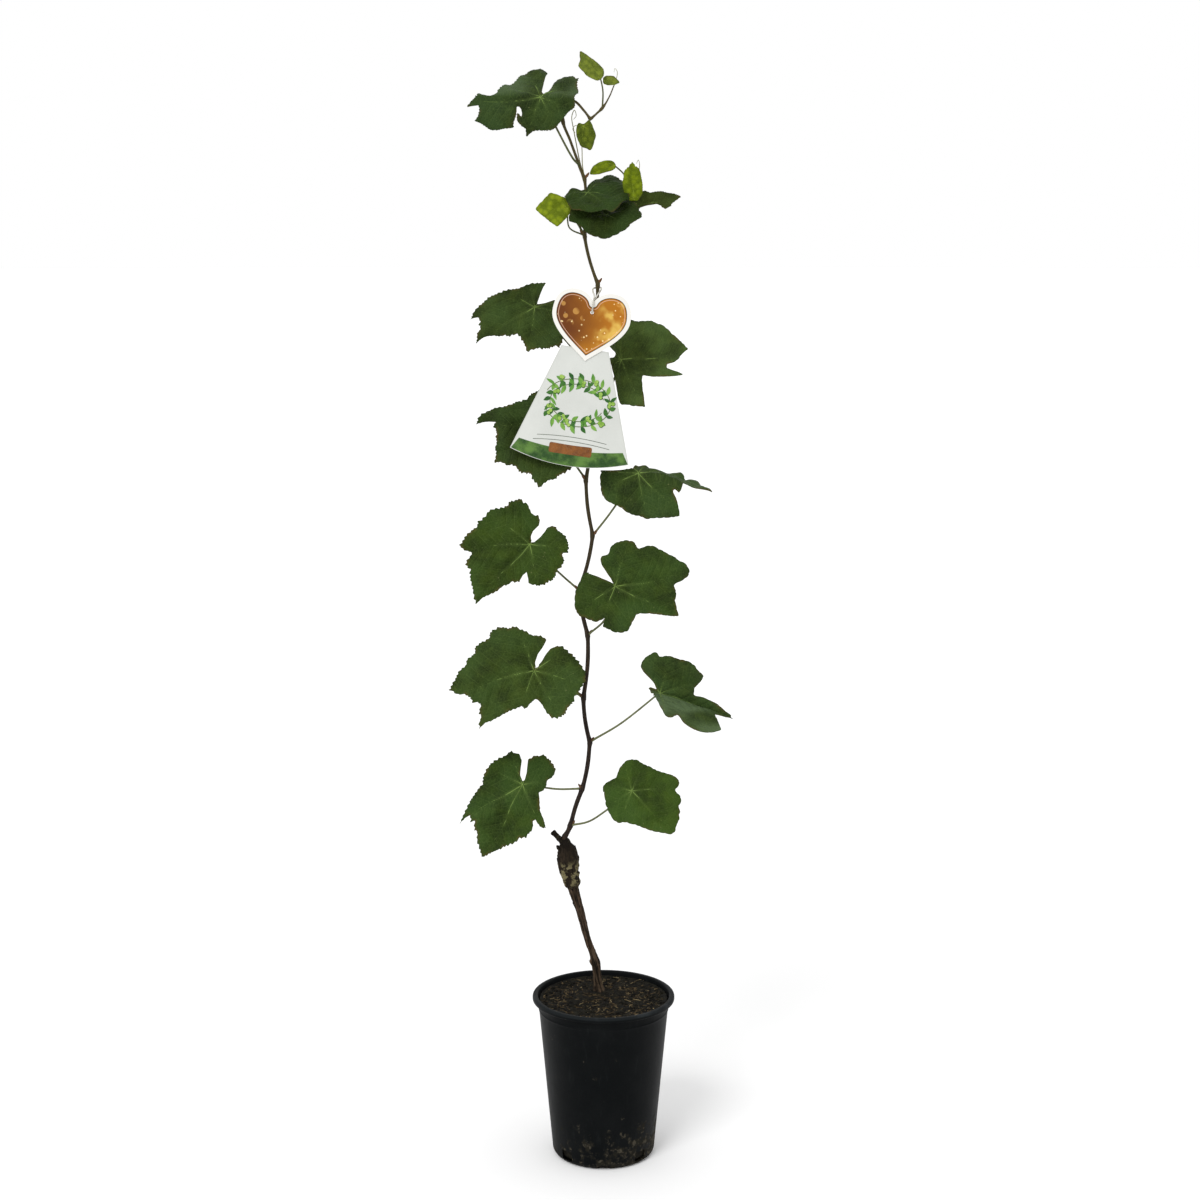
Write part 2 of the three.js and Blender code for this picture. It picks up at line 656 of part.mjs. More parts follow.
// A string round the shoot; one end hangs before the hole of the heart and the other behind it.
const loopGeometry = () => {
  const [x, y, z] = LOOP.around;
  const [wide, deep] = LOOP.reach;
  const onHeart = (up, depth) => {
    const [heartX, heartZ] = TAG.heartAt;
    const tilt = radians(-TAG.lean);
    return [heartX + up * Math.sin(tilt), depth, heartZ + up * Math.cos(tilt)];
  };
  const before = TAG.front - LOOP.thick / 2 - GAP;
  const behind = TAG.front + TAG.thick + LOOP.thick / 2 + GAP;
  const points = [
    onHeart(TAG.holeUp, before - 0.2),
    onHeart(TAG.cleftUp + 2, before - 0.4),
    [x - 3, TAG.front + 10, z - 8],
    [x - wide, y - 2, z],
    [x, y + deep, z + 1.5],
    [x + wide, y - 2, z + 1],
    [x - 1, TAG.front + 12, z - 9],
    onHeart(TAG.cleftUp, behind + 0.6),
    onHeart(TAG.holeUp, behind + 0.2),
  ];
  return softLimb(points.map(vector), [LOOP.thick, LOOP.thick], LOOP.sides, LOOP.steps);
};

// ---- assembly -----------------------------------------------------------------------------

const finish = (color, roughness) => new THREE.MeshStandardMaterial({ color, roughness, metalness: 0 });
const MATERIALS = {
  pot: finish(0x1b2024, 0.5),
  soil: finish(0x3a2c20, 0.95),
  wood: finish(0x3d3026, 0.9),
  cane: finish(0x4a3d28, 0.6),
  stalk: finish(0x6f7d45, 0.55),
  leaf: finish(0x3b5727, 0.6),
  young: finish(0x7d9636, 0.55),
  card: finish(0xe9e8e4, 0.6),
  heart: finish(0xb5762a, 0.5),
  string: finish(0xe4e2dc, 0.7),
};

const group = new THREE.Group();
const addPart = (name, geometry, material) => {
  const mesh = new THREE.Mesh(geometry, material);
  mesh.name = name;
  group.add(mesh);
};

addPart('pot', potGeometry(), MATERIALS.pot);
addPart('soil', soilGeometry(), MATERIALS.soil);
addPart('trunk', trunkGeometry(), MATERIALS.wood);
for (const [name, run] of Object.entries(SHOOT_SPLITS)) addPart(name, shootGeometry(run), MATERIALS.cane);
addPart('shoot_nod', softLimb(trimmed(NOD, -0.2), [3.2, 2.6], 8, 14), MATERIALS.stalk);
addPart('shoot_tip', softLimb(trimmed(TIP_SHOOT, 1.6), [2.4, 1.4], 6, 8), MATERIALS.stalk);
addPart('side_shoot', softLimb(trimmed(SIDE_SHOOT, 2.2), [3, 2], 6, 6), MATERIALS.stalk);
for (const leaf of LEAVES) {
  addPart(leaf.name, bladeGeometry(leaf, 2, 2), MATERIALS.leaf);
  addPart(leaf.name.replace('leaf', 'stalk'), stalkGeometry(leaf), MATERIALS.stalk);
}
for (const leaf of YOUNG) {
  addPart(leaf.name, bladeGeometry(leaf, 1, 2), MATERIALS.young);
  if (leaf.from) addPart(leaf.name.replace('leaf', 'stalk'), stalkGeometry(leaf), MATERIALS.stalk);
}
addPart('tag_heart', heartGeometry(), MATERIALS.heart);
addPart('tag_card', cardGeometry(), MATERIALS.card);
addPart('tag_string', loopGeometry(), MATERIALS.string);

export default group;
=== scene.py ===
import math

import bmesh
import bpy
import numpy as np
from mathutils import Matrix, Vector, geometry, noise


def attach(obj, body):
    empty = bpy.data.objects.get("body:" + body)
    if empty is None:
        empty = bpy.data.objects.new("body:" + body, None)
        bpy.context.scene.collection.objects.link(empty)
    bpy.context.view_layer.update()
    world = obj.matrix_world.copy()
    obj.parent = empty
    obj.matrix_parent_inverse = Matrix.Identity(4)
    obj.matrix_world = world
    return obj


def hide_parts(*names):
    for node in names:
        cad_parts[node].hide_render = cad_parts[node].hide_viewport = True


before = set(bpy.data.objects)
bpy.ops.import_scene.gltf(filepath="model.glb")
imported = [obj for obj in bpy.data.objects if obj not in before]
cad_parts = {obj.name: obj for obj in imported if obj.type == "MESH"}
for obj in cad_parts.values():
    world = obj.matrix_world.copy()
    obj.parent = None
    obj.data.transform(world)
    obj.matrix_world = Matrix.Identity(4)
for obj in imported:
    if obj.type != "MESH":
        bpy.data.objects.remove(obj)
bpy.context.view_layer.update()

# Looks of a young grapevine in a nursery pot: toothed and veined leaves, the kinked shoot, the
# knobbly graft, crumbly soil, the pot and the hanging label. Sizes are millimetres, and become
# metres when a piece is made. The origin is the centre of the pot's underside, -Y is the front.

# ---- sizes shared with the part ------------------------------------------------------------

GAP = 0.3  # between neighbouring solids
POT = dict(height=198, rim_radius=85, rim_height=6, shoulder_radius=78.3, wall_foot_radius=61.5,
           edge_radius=8, wall=2, floor=3)
DRAIN = dict(count=4, window_width=16, window_bottom=4, window_top=17, notch_width=15,
             notch_height=5)
SOIL = dict(below_rim=8, crown=2.5)

TRUNK = [  # x, y, height above the soil, thickness
    (-5.5, 25, 0, 14), (-6.5, 25, 9, 10.5), (-8, 24.5, 24, 9.6), (-9.5, 24, 36, 10.8),
    (-13, 23, 48, 8.2), (-19, 21, 66, 7.8), (-28.5, 20, 104, 9.6), (-36.5, 20, 131, 12.5),
    (-39.5, 20, 143, 19), (-41.5, 20, 156, 24), (-42.5, 20, 168, 25), (-43.5, 20, 178, 20),
    (-46, 20, 187, 12), (-47, 20, 192, 7),
]
STUB = [(-46, 20, 184, 8), (-52, 19.5, 191, 7), (-61, 18, 201, 6.4)]

SHOOT_THICK = (5.6, 3.2)
SHOOT = [
    (-46.5, 20, 386.5), (-39, 20, 401), (-25, 20, 446), (-16.5, 20, 503), (-24, 19, 557),
    (-18.5, 20, 632), (-28.5, 20, 685), (-12.5, 20, 750), (-20.5, 20, 815), (-15.5, 21, 878),
    (-16, 20, 942), (-7, 20, 1040), (-22, 21, 1094), (-21.5, 20, 1158), (-29.5, 18, 1177),
]
BOW = 0.03  # how far the shoot bows between two joints, as a share of their distance
NOD = [
    (-29.5, 18, 1177), (-38, 17, 1200), (-46, 16, 1221), (-44, 16, 1238), (-34, 16, 1243),
    (-22, 15, 1232), (-15, 14, 1222.5),
]
TIP_SHOOT = [(-15, 14, 1222.5), (-8, 14, 1229), (-1.5, 14, 1235), (6, 14, 1247), (12, 14, 1261)]
SIDE_SHOOT = [(-19.5, 20, 1118), (-6, 18, 1124), (10, 17, 1129), (24, 17, 1133), (30, 17, 1137)]

BLADE = 1.2  # thickness of the part's blades
SWELL = 0.08  # how far a margin swells between two corners, as a share of their distance
STALK_THICK = (2.6, 2.0)

# Each leaf: where stalk and blade meet; the degrees by which the tip is turned, the blade leans and
# turns, and its halves fold; its slopes along and across, and how far it domes. Its chief lobes, as
# degrees from the midrib and reach. Its margin: corners in the same form (edge), or the cuts
# between the lobes and the bay at the stalk. The size of its teeth, how often the margin is
# rounded, its green, how strong the painted grey sheen on a folded half is, and the stalk's root
# and a point on its way.
LEAVES = [
    dict(name="leaf_01", at=(33.3, -10, 451), tip=-44, lean=8, turn=-8,
         fold=(10, 6), slope=(0.35, -0.25), dome=0.1,
         lobes=[(-148, 34), (-104, 37), (-68, 42), (0, 70), (51, 60), (114, 34), (150, 35)],
         teeth=1.4, round=9, green=(60, 79, 32),
         edge=[(-175, 23.5), (-161, 28), (-147, 34), (-138, 34.5), (-126, 32.5), (-110, 35), (-87, 38),
               (-77, 40.5), (-70, 40), (-60, 36.5), (-48, 37), (-37, 39.5), (-18, 51), (-3, 67),
               (2, 68), (9, 64), (15, 64), (19, 60.5), (22, 61.5), (26, 57), (33, 58.5), (39, 57.5),
               (46, 50), (51, 55), (56, 57.5), (64, 53), (70, 47), (82, 39), (100, 35), (114, 34),
               (123, 36.5), (135, 36.5), (148, 34.5), (163, 30), (175, 26)],
         root=SHOOT[1], via=(-16, 10, 409.1)),
    dict(name="leaf_02", at=(-96.7, 30, 447.9), tip=-119, lean=6, turn=6,
         fold=(6, 12), slope=(0.3, 0.2), dome=0.08,
         lobes=[(-146, 28), (-132, 42), (-88, 45), (-30, 90), (0, 101), (56, 59), (132, 39),
                (194, 30)],
         teeth=2.3, round=2, green=(55, 73, 32),
         edge=[(-150, 3), (-132, 10), (-144, 20), (-148, 28), (-143, 37), (-135, 37.5), (-131, 42),
               (-121, 39.5), (-109, 41.5), (-100, 44.5), (-91, 46), (-80, 47), (-70, 48.5), (-62, 47.5),
               (-57, 52.5), (-45, 64.5), (-35, 77), (-29, 88), (-31, 79), (-31, 71), (-26, 75),
               (-24, 71), (-18, 77), (-15, 76), (-11, 83), (-6, 88), (0, 96), (5, 85), (10, 78),
               (16, 71), (22, 67), (27, 61), (34, 60), (38, 56), (43, 52), (47, 42.5), (51, 43),
               (54, 53), (60, 57), (63, 49), (66, 38), (76, 30), (97, 22.5), (106, 27), (116, 28),
               (130, 29), (133, 35), (139, 41), (146, 43), (154, 43), (162, 41.5), (174, 42.5),
               (180, 38), (188, 36.5), (191, 32), (197, 30), (195, 23), (189, 14), (184, 6)],
         root=SHOOT[2], via=(-56.4, 38, 440.7)),
    dict(name="leaf_03", at=(66.1, 4, 565.6), tip=-20, lean=10, turn=0,
         fold=(70, 8), slope=(-0.3, 0.2), dome=0.04, sheen=0.55,
         lobes=[(-170, 16), (-150, 18), (-70, 66), (-30, 92), (0, 86), (42, 54), (96, 47),
                (144, 38)],
         teeth=1.2, round=8, green=(58, 74, 41),
         edge=[(-205, 5), (-194, 14), (-183, 14.5), (-165, 10), (-140, 8.5), (-110, 14), (-101, 17.7),
               (-82, 21.4), (-77, 30.7), (-73, 41), (-70, 51), (-67, 56), (-63, 56.7), (-59, 53.5),
               (-54, 49.3), (-51.4, 51.7), (-51.2, 61.3), (-50, 71), (-48, 78), (-43, 83.3),
               (-37.5, 88.6), (-32, 92.3), (-27, 92.7), (-24.5, 87.4), (-20.5, 80), (-15.6, 73),
               (-11, 69), (-8, 71), (-6.4, 77), (-6.6, 82.5), (-3.3, 82.4), (-1.7, 86), (-2.5, 90),
               (0.6, 85.3), (2.5, 79), (5.2, 73), (8.4, 66), (11.6, 57), (15, 48.5), (17, 40), (19, 39),
               (23.6, 40), (28.7, 40), (33, 44), (37, 49.5), (41, 53.7), (44, 56), (49, 55.5),
               (55, 55.3), (61, 56.3), (68, 54.4), (75, 51.8), (81, 49.6), (89, 49.7), (97, 49.5),
               (103, 47.6), (108, 46), (109.4, 50.4), (113, 51.5), (118, 50.7), (124, 48),
               (128.5, 47.3), (136, 43), (141, 39.3), (144, 32.5), (143, 24), (137, 13.8)],
         root=SHOOT[3], via=(20, 14, 526.5)),
    dict(name="leaf_04", at=(-81.2, -4, 594.1), tip=-134, lean=8, turn=5,
         fold=(5, 10), slope=(0.25, 0.35), dome=0.08,
         lobes=[(-158, 38), (-114, 57), (-33, 101), (24, 46), (74, 62), (118, 60), (166, 44),
                (184, 36)],
         teeth=2.3, round=2, green=(57, 72, 33),
         edge=[(-165, 2.5), (-145, 10), (-150, 19), (-157, 29), (-159, 38.5), (-153, 40), (-147, 41.5),
               (-139, 40), (-131, 41.5), (-125, 46.5), (-119, 50), (-112, 57), (-105, 57.5),
               (-100, 63.5), (-93, 66.5), (-87, 68), (-82, 64.5), (-78, 66.5), (-73, 71), (-67, 74),
               (-63, 71.5), (-55, 80), (-51, 79.5), (-46, 88), (-42, 91), (-34, 101), (-30, 94),
               (-28, 85), (-24, 80), (-20, 80), (-15, 72), (-9, 80.5), (-6, 80), (-4, 86), (0, 92),
               (0.5, 82), (4, 73), (7, 64), (12, 54), (19, 47), (24, 43), (32, 44.5), (35, 40),
               (47, 33), (53, 34), (58, 41), (61, 50), (65, 58), (72, 61), (80, 61.5), (89, 57.5),
               (94, 59), (101, 57), (108, 58.5), (117, 59), (122, 62), (132, 60), (143, 54), (152, 50),
               (165, 45), (173, 43.5), (180, 39), (186, 32), (186, 24), (181, 14), (178, 5)],
         root=SHOOT[4], via=(-49.9, 14, 574.6)),
    dict(name="leaf_05", at=(13.2, -9, 694.4), tip=-25, lean=10, turn=-6,
         fold=(8, 10), slope=(0.35, -0.1), dome=0.08,
         lobes=[(-194, 31), (-118, 54), (-85, 50), (0, 82), (35, 89), (98, 56), (123, 41),
                (144, 35)],
         teeth=1.6, round=8, green=(53, 70, 30),
         edge=[(-205, 2.5), (-188, 13), (-184, 24.5), (-181, 34), (-176, 40), (-168, 41.5),
               (-158, 43.5), (-147, 47.5), (-138, 49.5), (-130, 52), (-123, 54), (-115, 54),
               (-107, 49.5), (-98, 48.5), (-90, 46), (-84, 41), (-79, 37.5), (-80, 48.5), (-70, 50.5),
               (-61, 54), (-53, 55), (-46, 54.5), (-40, 49.5), (-32, 44.5), (-25, 42), (-19, 44.5),
               (-11, 52.5), (-5, 63.5), (-1, 75), (2.5, 83), (8, 77.5), (14, 73.5), (22, 73.5),
               (25, 71.5), (29, 70.5), (31, 79), (34, 87), (37, 90), (42, 89), (45, 86), (48, 81),
               (52, 79), (57, 74), (62, 71.5), (67, 68.5), (73, 66), (78, 60.5), (81, 55), (85, 52),
               (90, 56), (95, 57), (103, 56), (111, 53), (119, 49.5), (124, 45.5), (128, 38.5),
               (133, 38), (139, 40), (145, 36.5), (148, 30), (147, 21), (143, 11)],
         root=SHOOT[5], via=(2, 10, 652.7)),
    dict(name="leaf_06", at=(-86.4, 36, 736.9), tip=-132, lean=6, turn=6,
         fold=(8, 10), slope=(0.35, 0.3), dome=0.08,
         lobes=[(-156, 28), (-88, 62), (-47, 82), (0, 94), (56, 50), (122, 47), (174, 33)],
         teeth=2.3, round=2, green=(56, 73, 29),
         edge=[(-170, 2.5), (-143, 10), (-150, 16.5), (-163, 24.5), (-160, 30.5), (-154, 35),
               (-147, 35), (-142, 35.5), (-137, 41), (-134, 48), (-129, 50), (-125, 56), (-119, 55),
               (-112, 57), (-107, 53.5), (-99, 56), (-92, 61), (-86, 63.5), (-80, 63), (-71, 67.5),
               (-67, 66), (-63, 70.5), (-56, 77), (-52, 79), (-47.5, 83), (-43, 76.5), (-41, 69),
               (-37, 70.5), (-35, 74.5), (-31, 79), (-25, 75.5), (-18, 80), (-12, 82.5), (-6, 87.5),
               (0, 93), (1, 82), (4, 74), (8, 66), (9.5, 58), (14, 54), (17, 48.5), (27, 45.5),
               (29, 38), (32, 35), (36, 32.5), (40, 38.5), (42, 46.5), (49, 47.5), (55, 50), (65, 50),
               (73, 49), (80, 49.5), (88, 45.5), (97, 46.5), (104, 46.5), (109, 44.5), (114, 40),
               (120, 46.5), (126, 47), (135, 45), (145, 42.5), (155, 38), (161, 35.5), (167, 36.5),
               (172, 34), (177, 28.5), (172, 22), (166, 15), (158, 5.5)],
         root=SHOOT[6], via=(-52.4, 42, 702.3)),
    dict(name="leaf_07", at=(40, 8, 823.8), tip=-17, lean=4, turn=0,
         fold=(4, -80), slope=(0.25, -0.3), dome=0.05,
         lobes=[(-165, 47), (-140, 50), (-60, 53), (-27, 69), (0, 88), (26, 58), (80, 50),
                (128, 40)],
         teeth=1.4, round=6, green=(53, 69, 34),
         edge=[(-174, 18.5), (-168, 30.5), (-166, 44.9), (-162.5, 43), (-157, 44.3), (-152, 44.4),
               (-147, 46.1), (-143, 45.9), (-138, 47.3), (-133, 48.2), (-127, 47.9), (-121.5, 47.7),
               (-116, 45.8), (-110, 43.9), (-102, 43.3), (-95, 43.1), (-90, 44.5), (-84, 45.7),
               (-77, 46.8), (-71.5, 46.9), (-67, 48.3), (-62, 51), (-59, 52), (-54, 52), (-49, 53.6),
               (-40, 57.8), (-32, 63.3), (-26.4, 67.2), (-23.7, 63.4), (-20, 58.6), (-16, 54),
               (-12.5, 49.8), (-10, 45.4), (-7.6, 44.1), (-4.5, 45.5), (-5, 48.1), (-7, 52.2),
               (-3, 52.6), (5, 52), (4, 57.5), (2.4, 65.3), (1.6, 73), (1, 79.5), (0.7, 87.5), (7, 83),
               (10.5, 78.6), (20.4, 76), (25, 73.8), (27, 67.8), (24.6, 59.3), (30, 59.4), (35, 57),
               (34, 50), (36, 37), (48, 25.5), (70, 18.5), (97, 16.5), (122, 14), (158, 9.5)],
         root=SHOOT[7], via=(6, 20, 773.7)),
    dict(name="leaf_08", at=(-62.4, 30, 878.4), tip=-148, lean=6, turn=8,
         fold=(10, 8), slope=(0.35, 0.2), dome=0.08,
         lobes=[(-108, 43), (-78, 40), (-30, 84), (0, 77), (98, 50), (150, 38)],
         teeth=2, round=2, green=(52, 66, 31),
         edge=[(-168, 4), (-152, 14), (-138, 26), (-127, 36), (-117, 41), (-108.7, 43.7), (-104, 42.5),
               (-97, 42), (-91, 42.5), (-86, 41), (-79, 40.5), (-72, 42.6), (-67, 46.8), (-61, 49.4),
               (-53, 57.4), (-49, 66), (-43.6, 74), (-40, 81), (-37, 82.8), (-31.8, 84.8), (-32.7, 81),
               (-33.7, 76), (-34.3, 70), (-34.3, 62.5), (-32, 64), (-29, 65.7), (-26, 62),
               (-22.7, 61.5), (-19, 64), (-14, 64.4), (-9.5, 67.3), (-7.5, 69.6), (-4, 70), (1, 74.5),
               (4, 79), (5, 75), (7.5, 71), (11, 70), (14, 69), (15.5, 65.5), (19, 64), (22.7, 64.5),
               (25.7, 66.5), (29.6, 66), (31, 64.4), (34, 65.6), (36, 62.6), (39, 62.7), (40, 67.4),
               (43, 70), (48, 75), (49.4, 77), (52.6, 71), (57, 66.7), (63.5, 66), (67, 63), (73, 61.5),
               (77.5, 61), (84, 59.5), (92, 55), (99, 51), (109, 49), (119, 46), (129, 46), (139, 43),
               (150, 38), (162, 32), (172, 24), (182, 12)],
         root=SHOOT[8], via=(-42.3, 38, 844.2)),
    dict(name="leaf_09", at=(20.2, 36, 952.7), tip=7, lean=6, turn=4,
         fold=(8, 8), slope=(0.3, -0.35), dome=0.08,
         lobes=[(-152, 22), (-112, 50), (-70, 63), (0, 79), (82, 47), (128, 34), (168, 14)],
         teeth=1.2, round=5, green=(71, 86, 48),
         edge=[(-192, 9), (-189, 14.2), (-172, 13.4), (-130, 17.3), (-110.6, 27), (-101, 40.5),
               (-98, 47.5), (-94, 50.4), (-90, 49.6), (-84, 50.8), (-81, 52.5), (-73, 55), (-66.6, 59),
               (-64.6, 53.6), (-62, 49), (-57, 41), (-51, 36), (-45.6, 32), (-38, 30.5), (-35, 35),
               (-32, 40), (-26.4, 50), (-22, 61), (-18.4, 72), (-17, 74.4), (-15.8, 68), (-15, 60),
               (-14, 54.5), (-11.3, 53.5), (-9.3, 54.2), (-8.3, 59.5), (-6.4, 63.7), (-3.8, 68),
               (-0.5, 70.4), (1.5, 75), (3, 79.6), (5.7, 77), (9, 74.6), (13, 71.6), (17.7, 69.2),
               (21.6, 66.6), (26, 65.8), (30.5, 63.8), (35, 61), (39, 57.6), (44, 56), (48.4, 53),
               (54.4, 49.5), (60, 47.4), (64.4, 47), (70.4, 46.4), (82, 47), (94, 45), (106, 42),
               (118, 38), (127, 33), (131, 25), (131.4, 16), (129, 8.8)],
         root=SHOOT[9], via=(3.1, 38, 906.6)),
    dict(name="leaf_10", at=(-79.2, 36, 1012.6), tip=-148, lean=8, turn=6,
         fold=(6, 8), slope=(0.35, 0.3), dome=0.08,
         lobes=[(-148, 32), (-112, 25), (-62, 34), (0, 80), (47, 54), (138, 44), (160, 26)],
         teeth=2, round=2, green=(58, 72, 36),
         edge=[(-156, 4.5), (-145, 18), (-145, 26.6), (-147, 33.5), (-139, 31.3), (-127, 29.4),
               (-114, 29), (-102, 28.3), (-89, 28.5), (-80, 29.6), (-71, 34.3), (-63, 39), (-57.5, 42),
               (-51, 47), (-44, 54.3), (-37, 59.5), (-32, 65), (-28, 69.6), (-23, 73.2), (-20.4, 75.5),
               (-21.2, 71.3), (-21, 67.3), (-19.6, 65), (-16.5, 65.3), (-13.5, 68.3), (-9.4, 67.4),
               (-8, 71), (-6.3, 74.7), (-2.7, 77.2), (1.4, 81.4), (0.6, 76.6), (0.2, 71), (0.8, 65.4),
               (2.8, 60), (8.4, 54.4), (12, 48.4), (17.7, 46.8), (19.2, 42.8), (25.4, 39.4), (32, 41),
               (38, 44), (44, 49.5), (47.6, 56), (51, 53.3), (57, 51.7), (62, 50.6), (67, 52.3),
               (72, 51.5), (74, 54), (78, 52.6), (83.4, 52.5), (86.7, 56.3), (96, 50.5), (104, 48),
               (113, 45), (121, 48), (131, 46), (139, 43), (148, 37), (157, 30), (165, 26), (169, 24),
               (169, 13.5)],
         root=SHOOT[10], via=(-44.4, 44, 974.8)),
    dict(name="leaf_11", at=(-18, 2, 1142), tip=-90, lean=58, turn=0,
         fold=(4, 4), slope=(0, 0), bay=6, dome=0.06,
         lobes=[(-104, 18), (-70, 28), (-25, 41), (4, 41), (36, 48), (72, 49), (116, 46), (146, 46),
                (162, 34)],
         cuts=[1, 1.02, 1, 1, 1, 1.03, 1.03, 1.04], teeth=1.2, round=4, green=(43, 59, 25),
         root=SHOOT[12], via=(-34, 15, 1121)),
    dict(name="leaf_12", at=(3.1, -8, 1116.9), tip=-90, lean=50, turn=0,
         fold=(18, 16), slope=(0, 0), bay=8, dome=0.16,
         lobes=[(-140, 32), (-108, 40), (-72, 46), (-36, 38), (-8, 37), (48, 34), (76, 43), (112, 37),
                (140, 34)],
         cuts=[1.02, 1.03, 1.04, 1.04, 1.1, 0.98, 1, 1.02], teeth=1.6, round=14, green=(41, 54, 20),
         root=SIDE_SHOOT[1], via=(-2, 10, 1114)),
    dict(name="leaf_13", at=(37, 16, 1126.5), tip=14, lean=8, turn=0,
         fold=(-20, 20), slope=(0, 0), dome=0.03,
         lobes=[(-50, 9), (0, 52), (76, 11)],
         teeth=0.9, round=3, green=(62, 71, 34),
         edge=[(-167, 5), (-60, 4), (-12, 8), (-6.5, 14), (-6, 23.5), (-9.5, 27), (-15.5, 30.5),
               (-18, 33.4), (-14, 36), (-13, 39.3), (-10, 39.5), (-8, 42), (-5, 47), (-2, 52),
               (4.5, 44.5), (9, 39.5), (18, 34), (21, 31.5), (26, 27.5), (32, 22.8), (48, 21),
               (60, 18), (76, 12), (120, 7)],
         root=SIDE_SHOOT[4], via=(33.5, 18.6, 1131)),
    dict(name="leaf_14", at=(-70.3, 2, 1245.9), tip=178, lean=6, turn=0,
         fold=(-58, 6), slope=(0, 0), dome=0.04, sheen=0.3,
         lobes=[(-101, 48), (-76, 56), (-20, 44), (9, 84), (70, 47), (116, 38), (160, 36),
                (218, 55), (243, 44)],
         teeth=1.1, round=3, green=(53, 68, 37),
         edge=[(-100, 6), (-100, 26), (-101, 40), (-102, 47.3), (-99, 50.8), (-91.4, 57.8), (-89, 54),
               (-85, 52.2), (-80, 52), (-76.5, 51), (-72, 47.6), (-63, 46.2), (-52, 42.4), (-42, 41),
               (-33, 42.2), (-24, 44), (-15, 45.4), (-9, 47.4), (-2.5, 50), (-1, 58), (-1.5, 66),
               (-3, 70), (2.4, 73.7), (5.4, 78), (10, 83.8), (9.4, 70), (14, 70.3), (19.5, 74.3),
               (22, 79.5), (25.3, 74), (30, 70), (34.3, 67.4), (38.7, 60.7), (42, 54), (47.2, 48.7),
               (50, 45.6), (45.9, 43.8), (42, 39), (38, 34.7), (30, 31), (23.7, 29.6), (25, 27),
               (31, 26), (39, 26.8), (44, 28.6), (46.8, 31.5), (39, 31), (34.5, 31.8), (40.4, 34.7),
               (46, 37.8), (53, 39), (59.5, 39.4), (65.5, 39.5), (71, 47.5), (75, 41.4), (79.5, 37.8),
               (90, 36.7), (99.5, 37.5), (109, 38), (116, 37.3), (123, 35.7), (132, 34.5), (138, 34),
               (145, 34), (153, 34.3), (159, 36), (165, 39), (170, 39.5), (177, 37.8), (184, 38.4),
               (193, 43.6), (199, 45.5), (207, 47), (214, 51), (220, 58), (219.6, 53.6), (225, 54.4),
               (230, 52.6), (238, 52), (238.7, 47.4), (242, 44.8), (241.5, 35.4), (237.6, 22.6),
               (228, 11)],
         root=(-27.6, 18.5, 1172.4), via=(-35, 9, 1180)),
]
YOUNG = [
    dict(name="young_leaf_1", at=(-40.5, -3.6, 1124), tip=180, lean=6, turn=8,
         fold=(6, 6), slope=(0, 0), bay=7, dome=0.1,
         lobes=[(-88, 11), (-43, 26), (0, 36), (59, 24), (84, 10)],
         cuts=[1, 1, 1, 1], teeth=1.2, round=8, green=(119, 132, 27),
         root=SHOOT[12], via=(-39, 9, 1103)),
    dict(name="young_leaf_2", at=(33.5, 0, 1134.5), tip=92, lean=6, turn=0,
         fold=(10, 10), slope=(0, 0), bay=2, dome=0.08,
         lobes=[(-110, 5), (-58, 12), (-30, 21), (-12, 35), (0, 41), (16, 33), (34, 22), (60, 12),
                (110, 5)],
         cuts=[1.1, 1.05, 1, 0.95, 0.97, 0.98, 1.02, 1.1], teeth=1, round=4, green=(104, 118, 15),
         root=SIDE_SHOOT[3], via=(29, 10, 1134)),
    dict(name="young_leaf_3", at=(12, 10, 1172), tip=200, lean=4, turn=8,
         fold=(8, 8), slope=(0, 0), bay=2, dome=0.06,
         lobes=[(-90, 5), (-42, 13), (-18, 24), (0, 30), (12, 20), (44, 7), (90, 4)],
         cuts=[1.1, 1.05, 1.03, 1, 1, 1.1], teeth=0.7, round=8, green=(104, 118, 18),
         root=SIDE_SHOOT[3], via=(27, 20, 1156)),
    dict(name="young_leaf_4", at=(-22.7, 6, 1214.8), tip=-73, lean=4, turn=8,
         fold=(8, 8), slope=(0, 0), bay=2, dome=0.06,
         lobes=[(-145, 7), (-82, 9), (-46, 15), (-24, 23), (0, 28), (38, 17), (118, 10)],
         cuts=[1.1, 1.05, 1, 0.97, 1.05, 1.05], teeth=0.8, round=8, green=(80, 92, 28),
         root=NOD[6], via=(-18, 10, 1220)),
    dict(name="young_leaf_5", at=(-3.6, 6, 1267.8), tip=128, lean=6, turn=6,
         fold=(10, 10), slope=(0, 0), bay=2, dome=0.06,
         lobes=[(-90, 5), (-58, 10), (-20, 19), (0, 37), (27, 29), (46, 15), (100, 5)],
         cuts=[1.05, 1, 1, 0.92, 1, 1.05], teeth=0.8, round=8, green=(110, 120, 56),
         root=TIP_SHOOT[2], via=(-1, 13, 1254)),
    dict(name="young_leaf_6", at=(0.5, 11, 1265), tip=-8, lean=6, turn=8,
         fold=(10, 10), slope=(0, 0), bay=1.5, dome=0.06,
         lobes=[(-110, 3.5), (-50, 6), (-18, 12), (0, 18), (32, 12), (74, 6), (120, 3.5)],
         cuts=[1.05, 1.02, 1, 1, 1.02, 1.05], teeth=0.5, round=8, green=(104, 114, 55)),
]

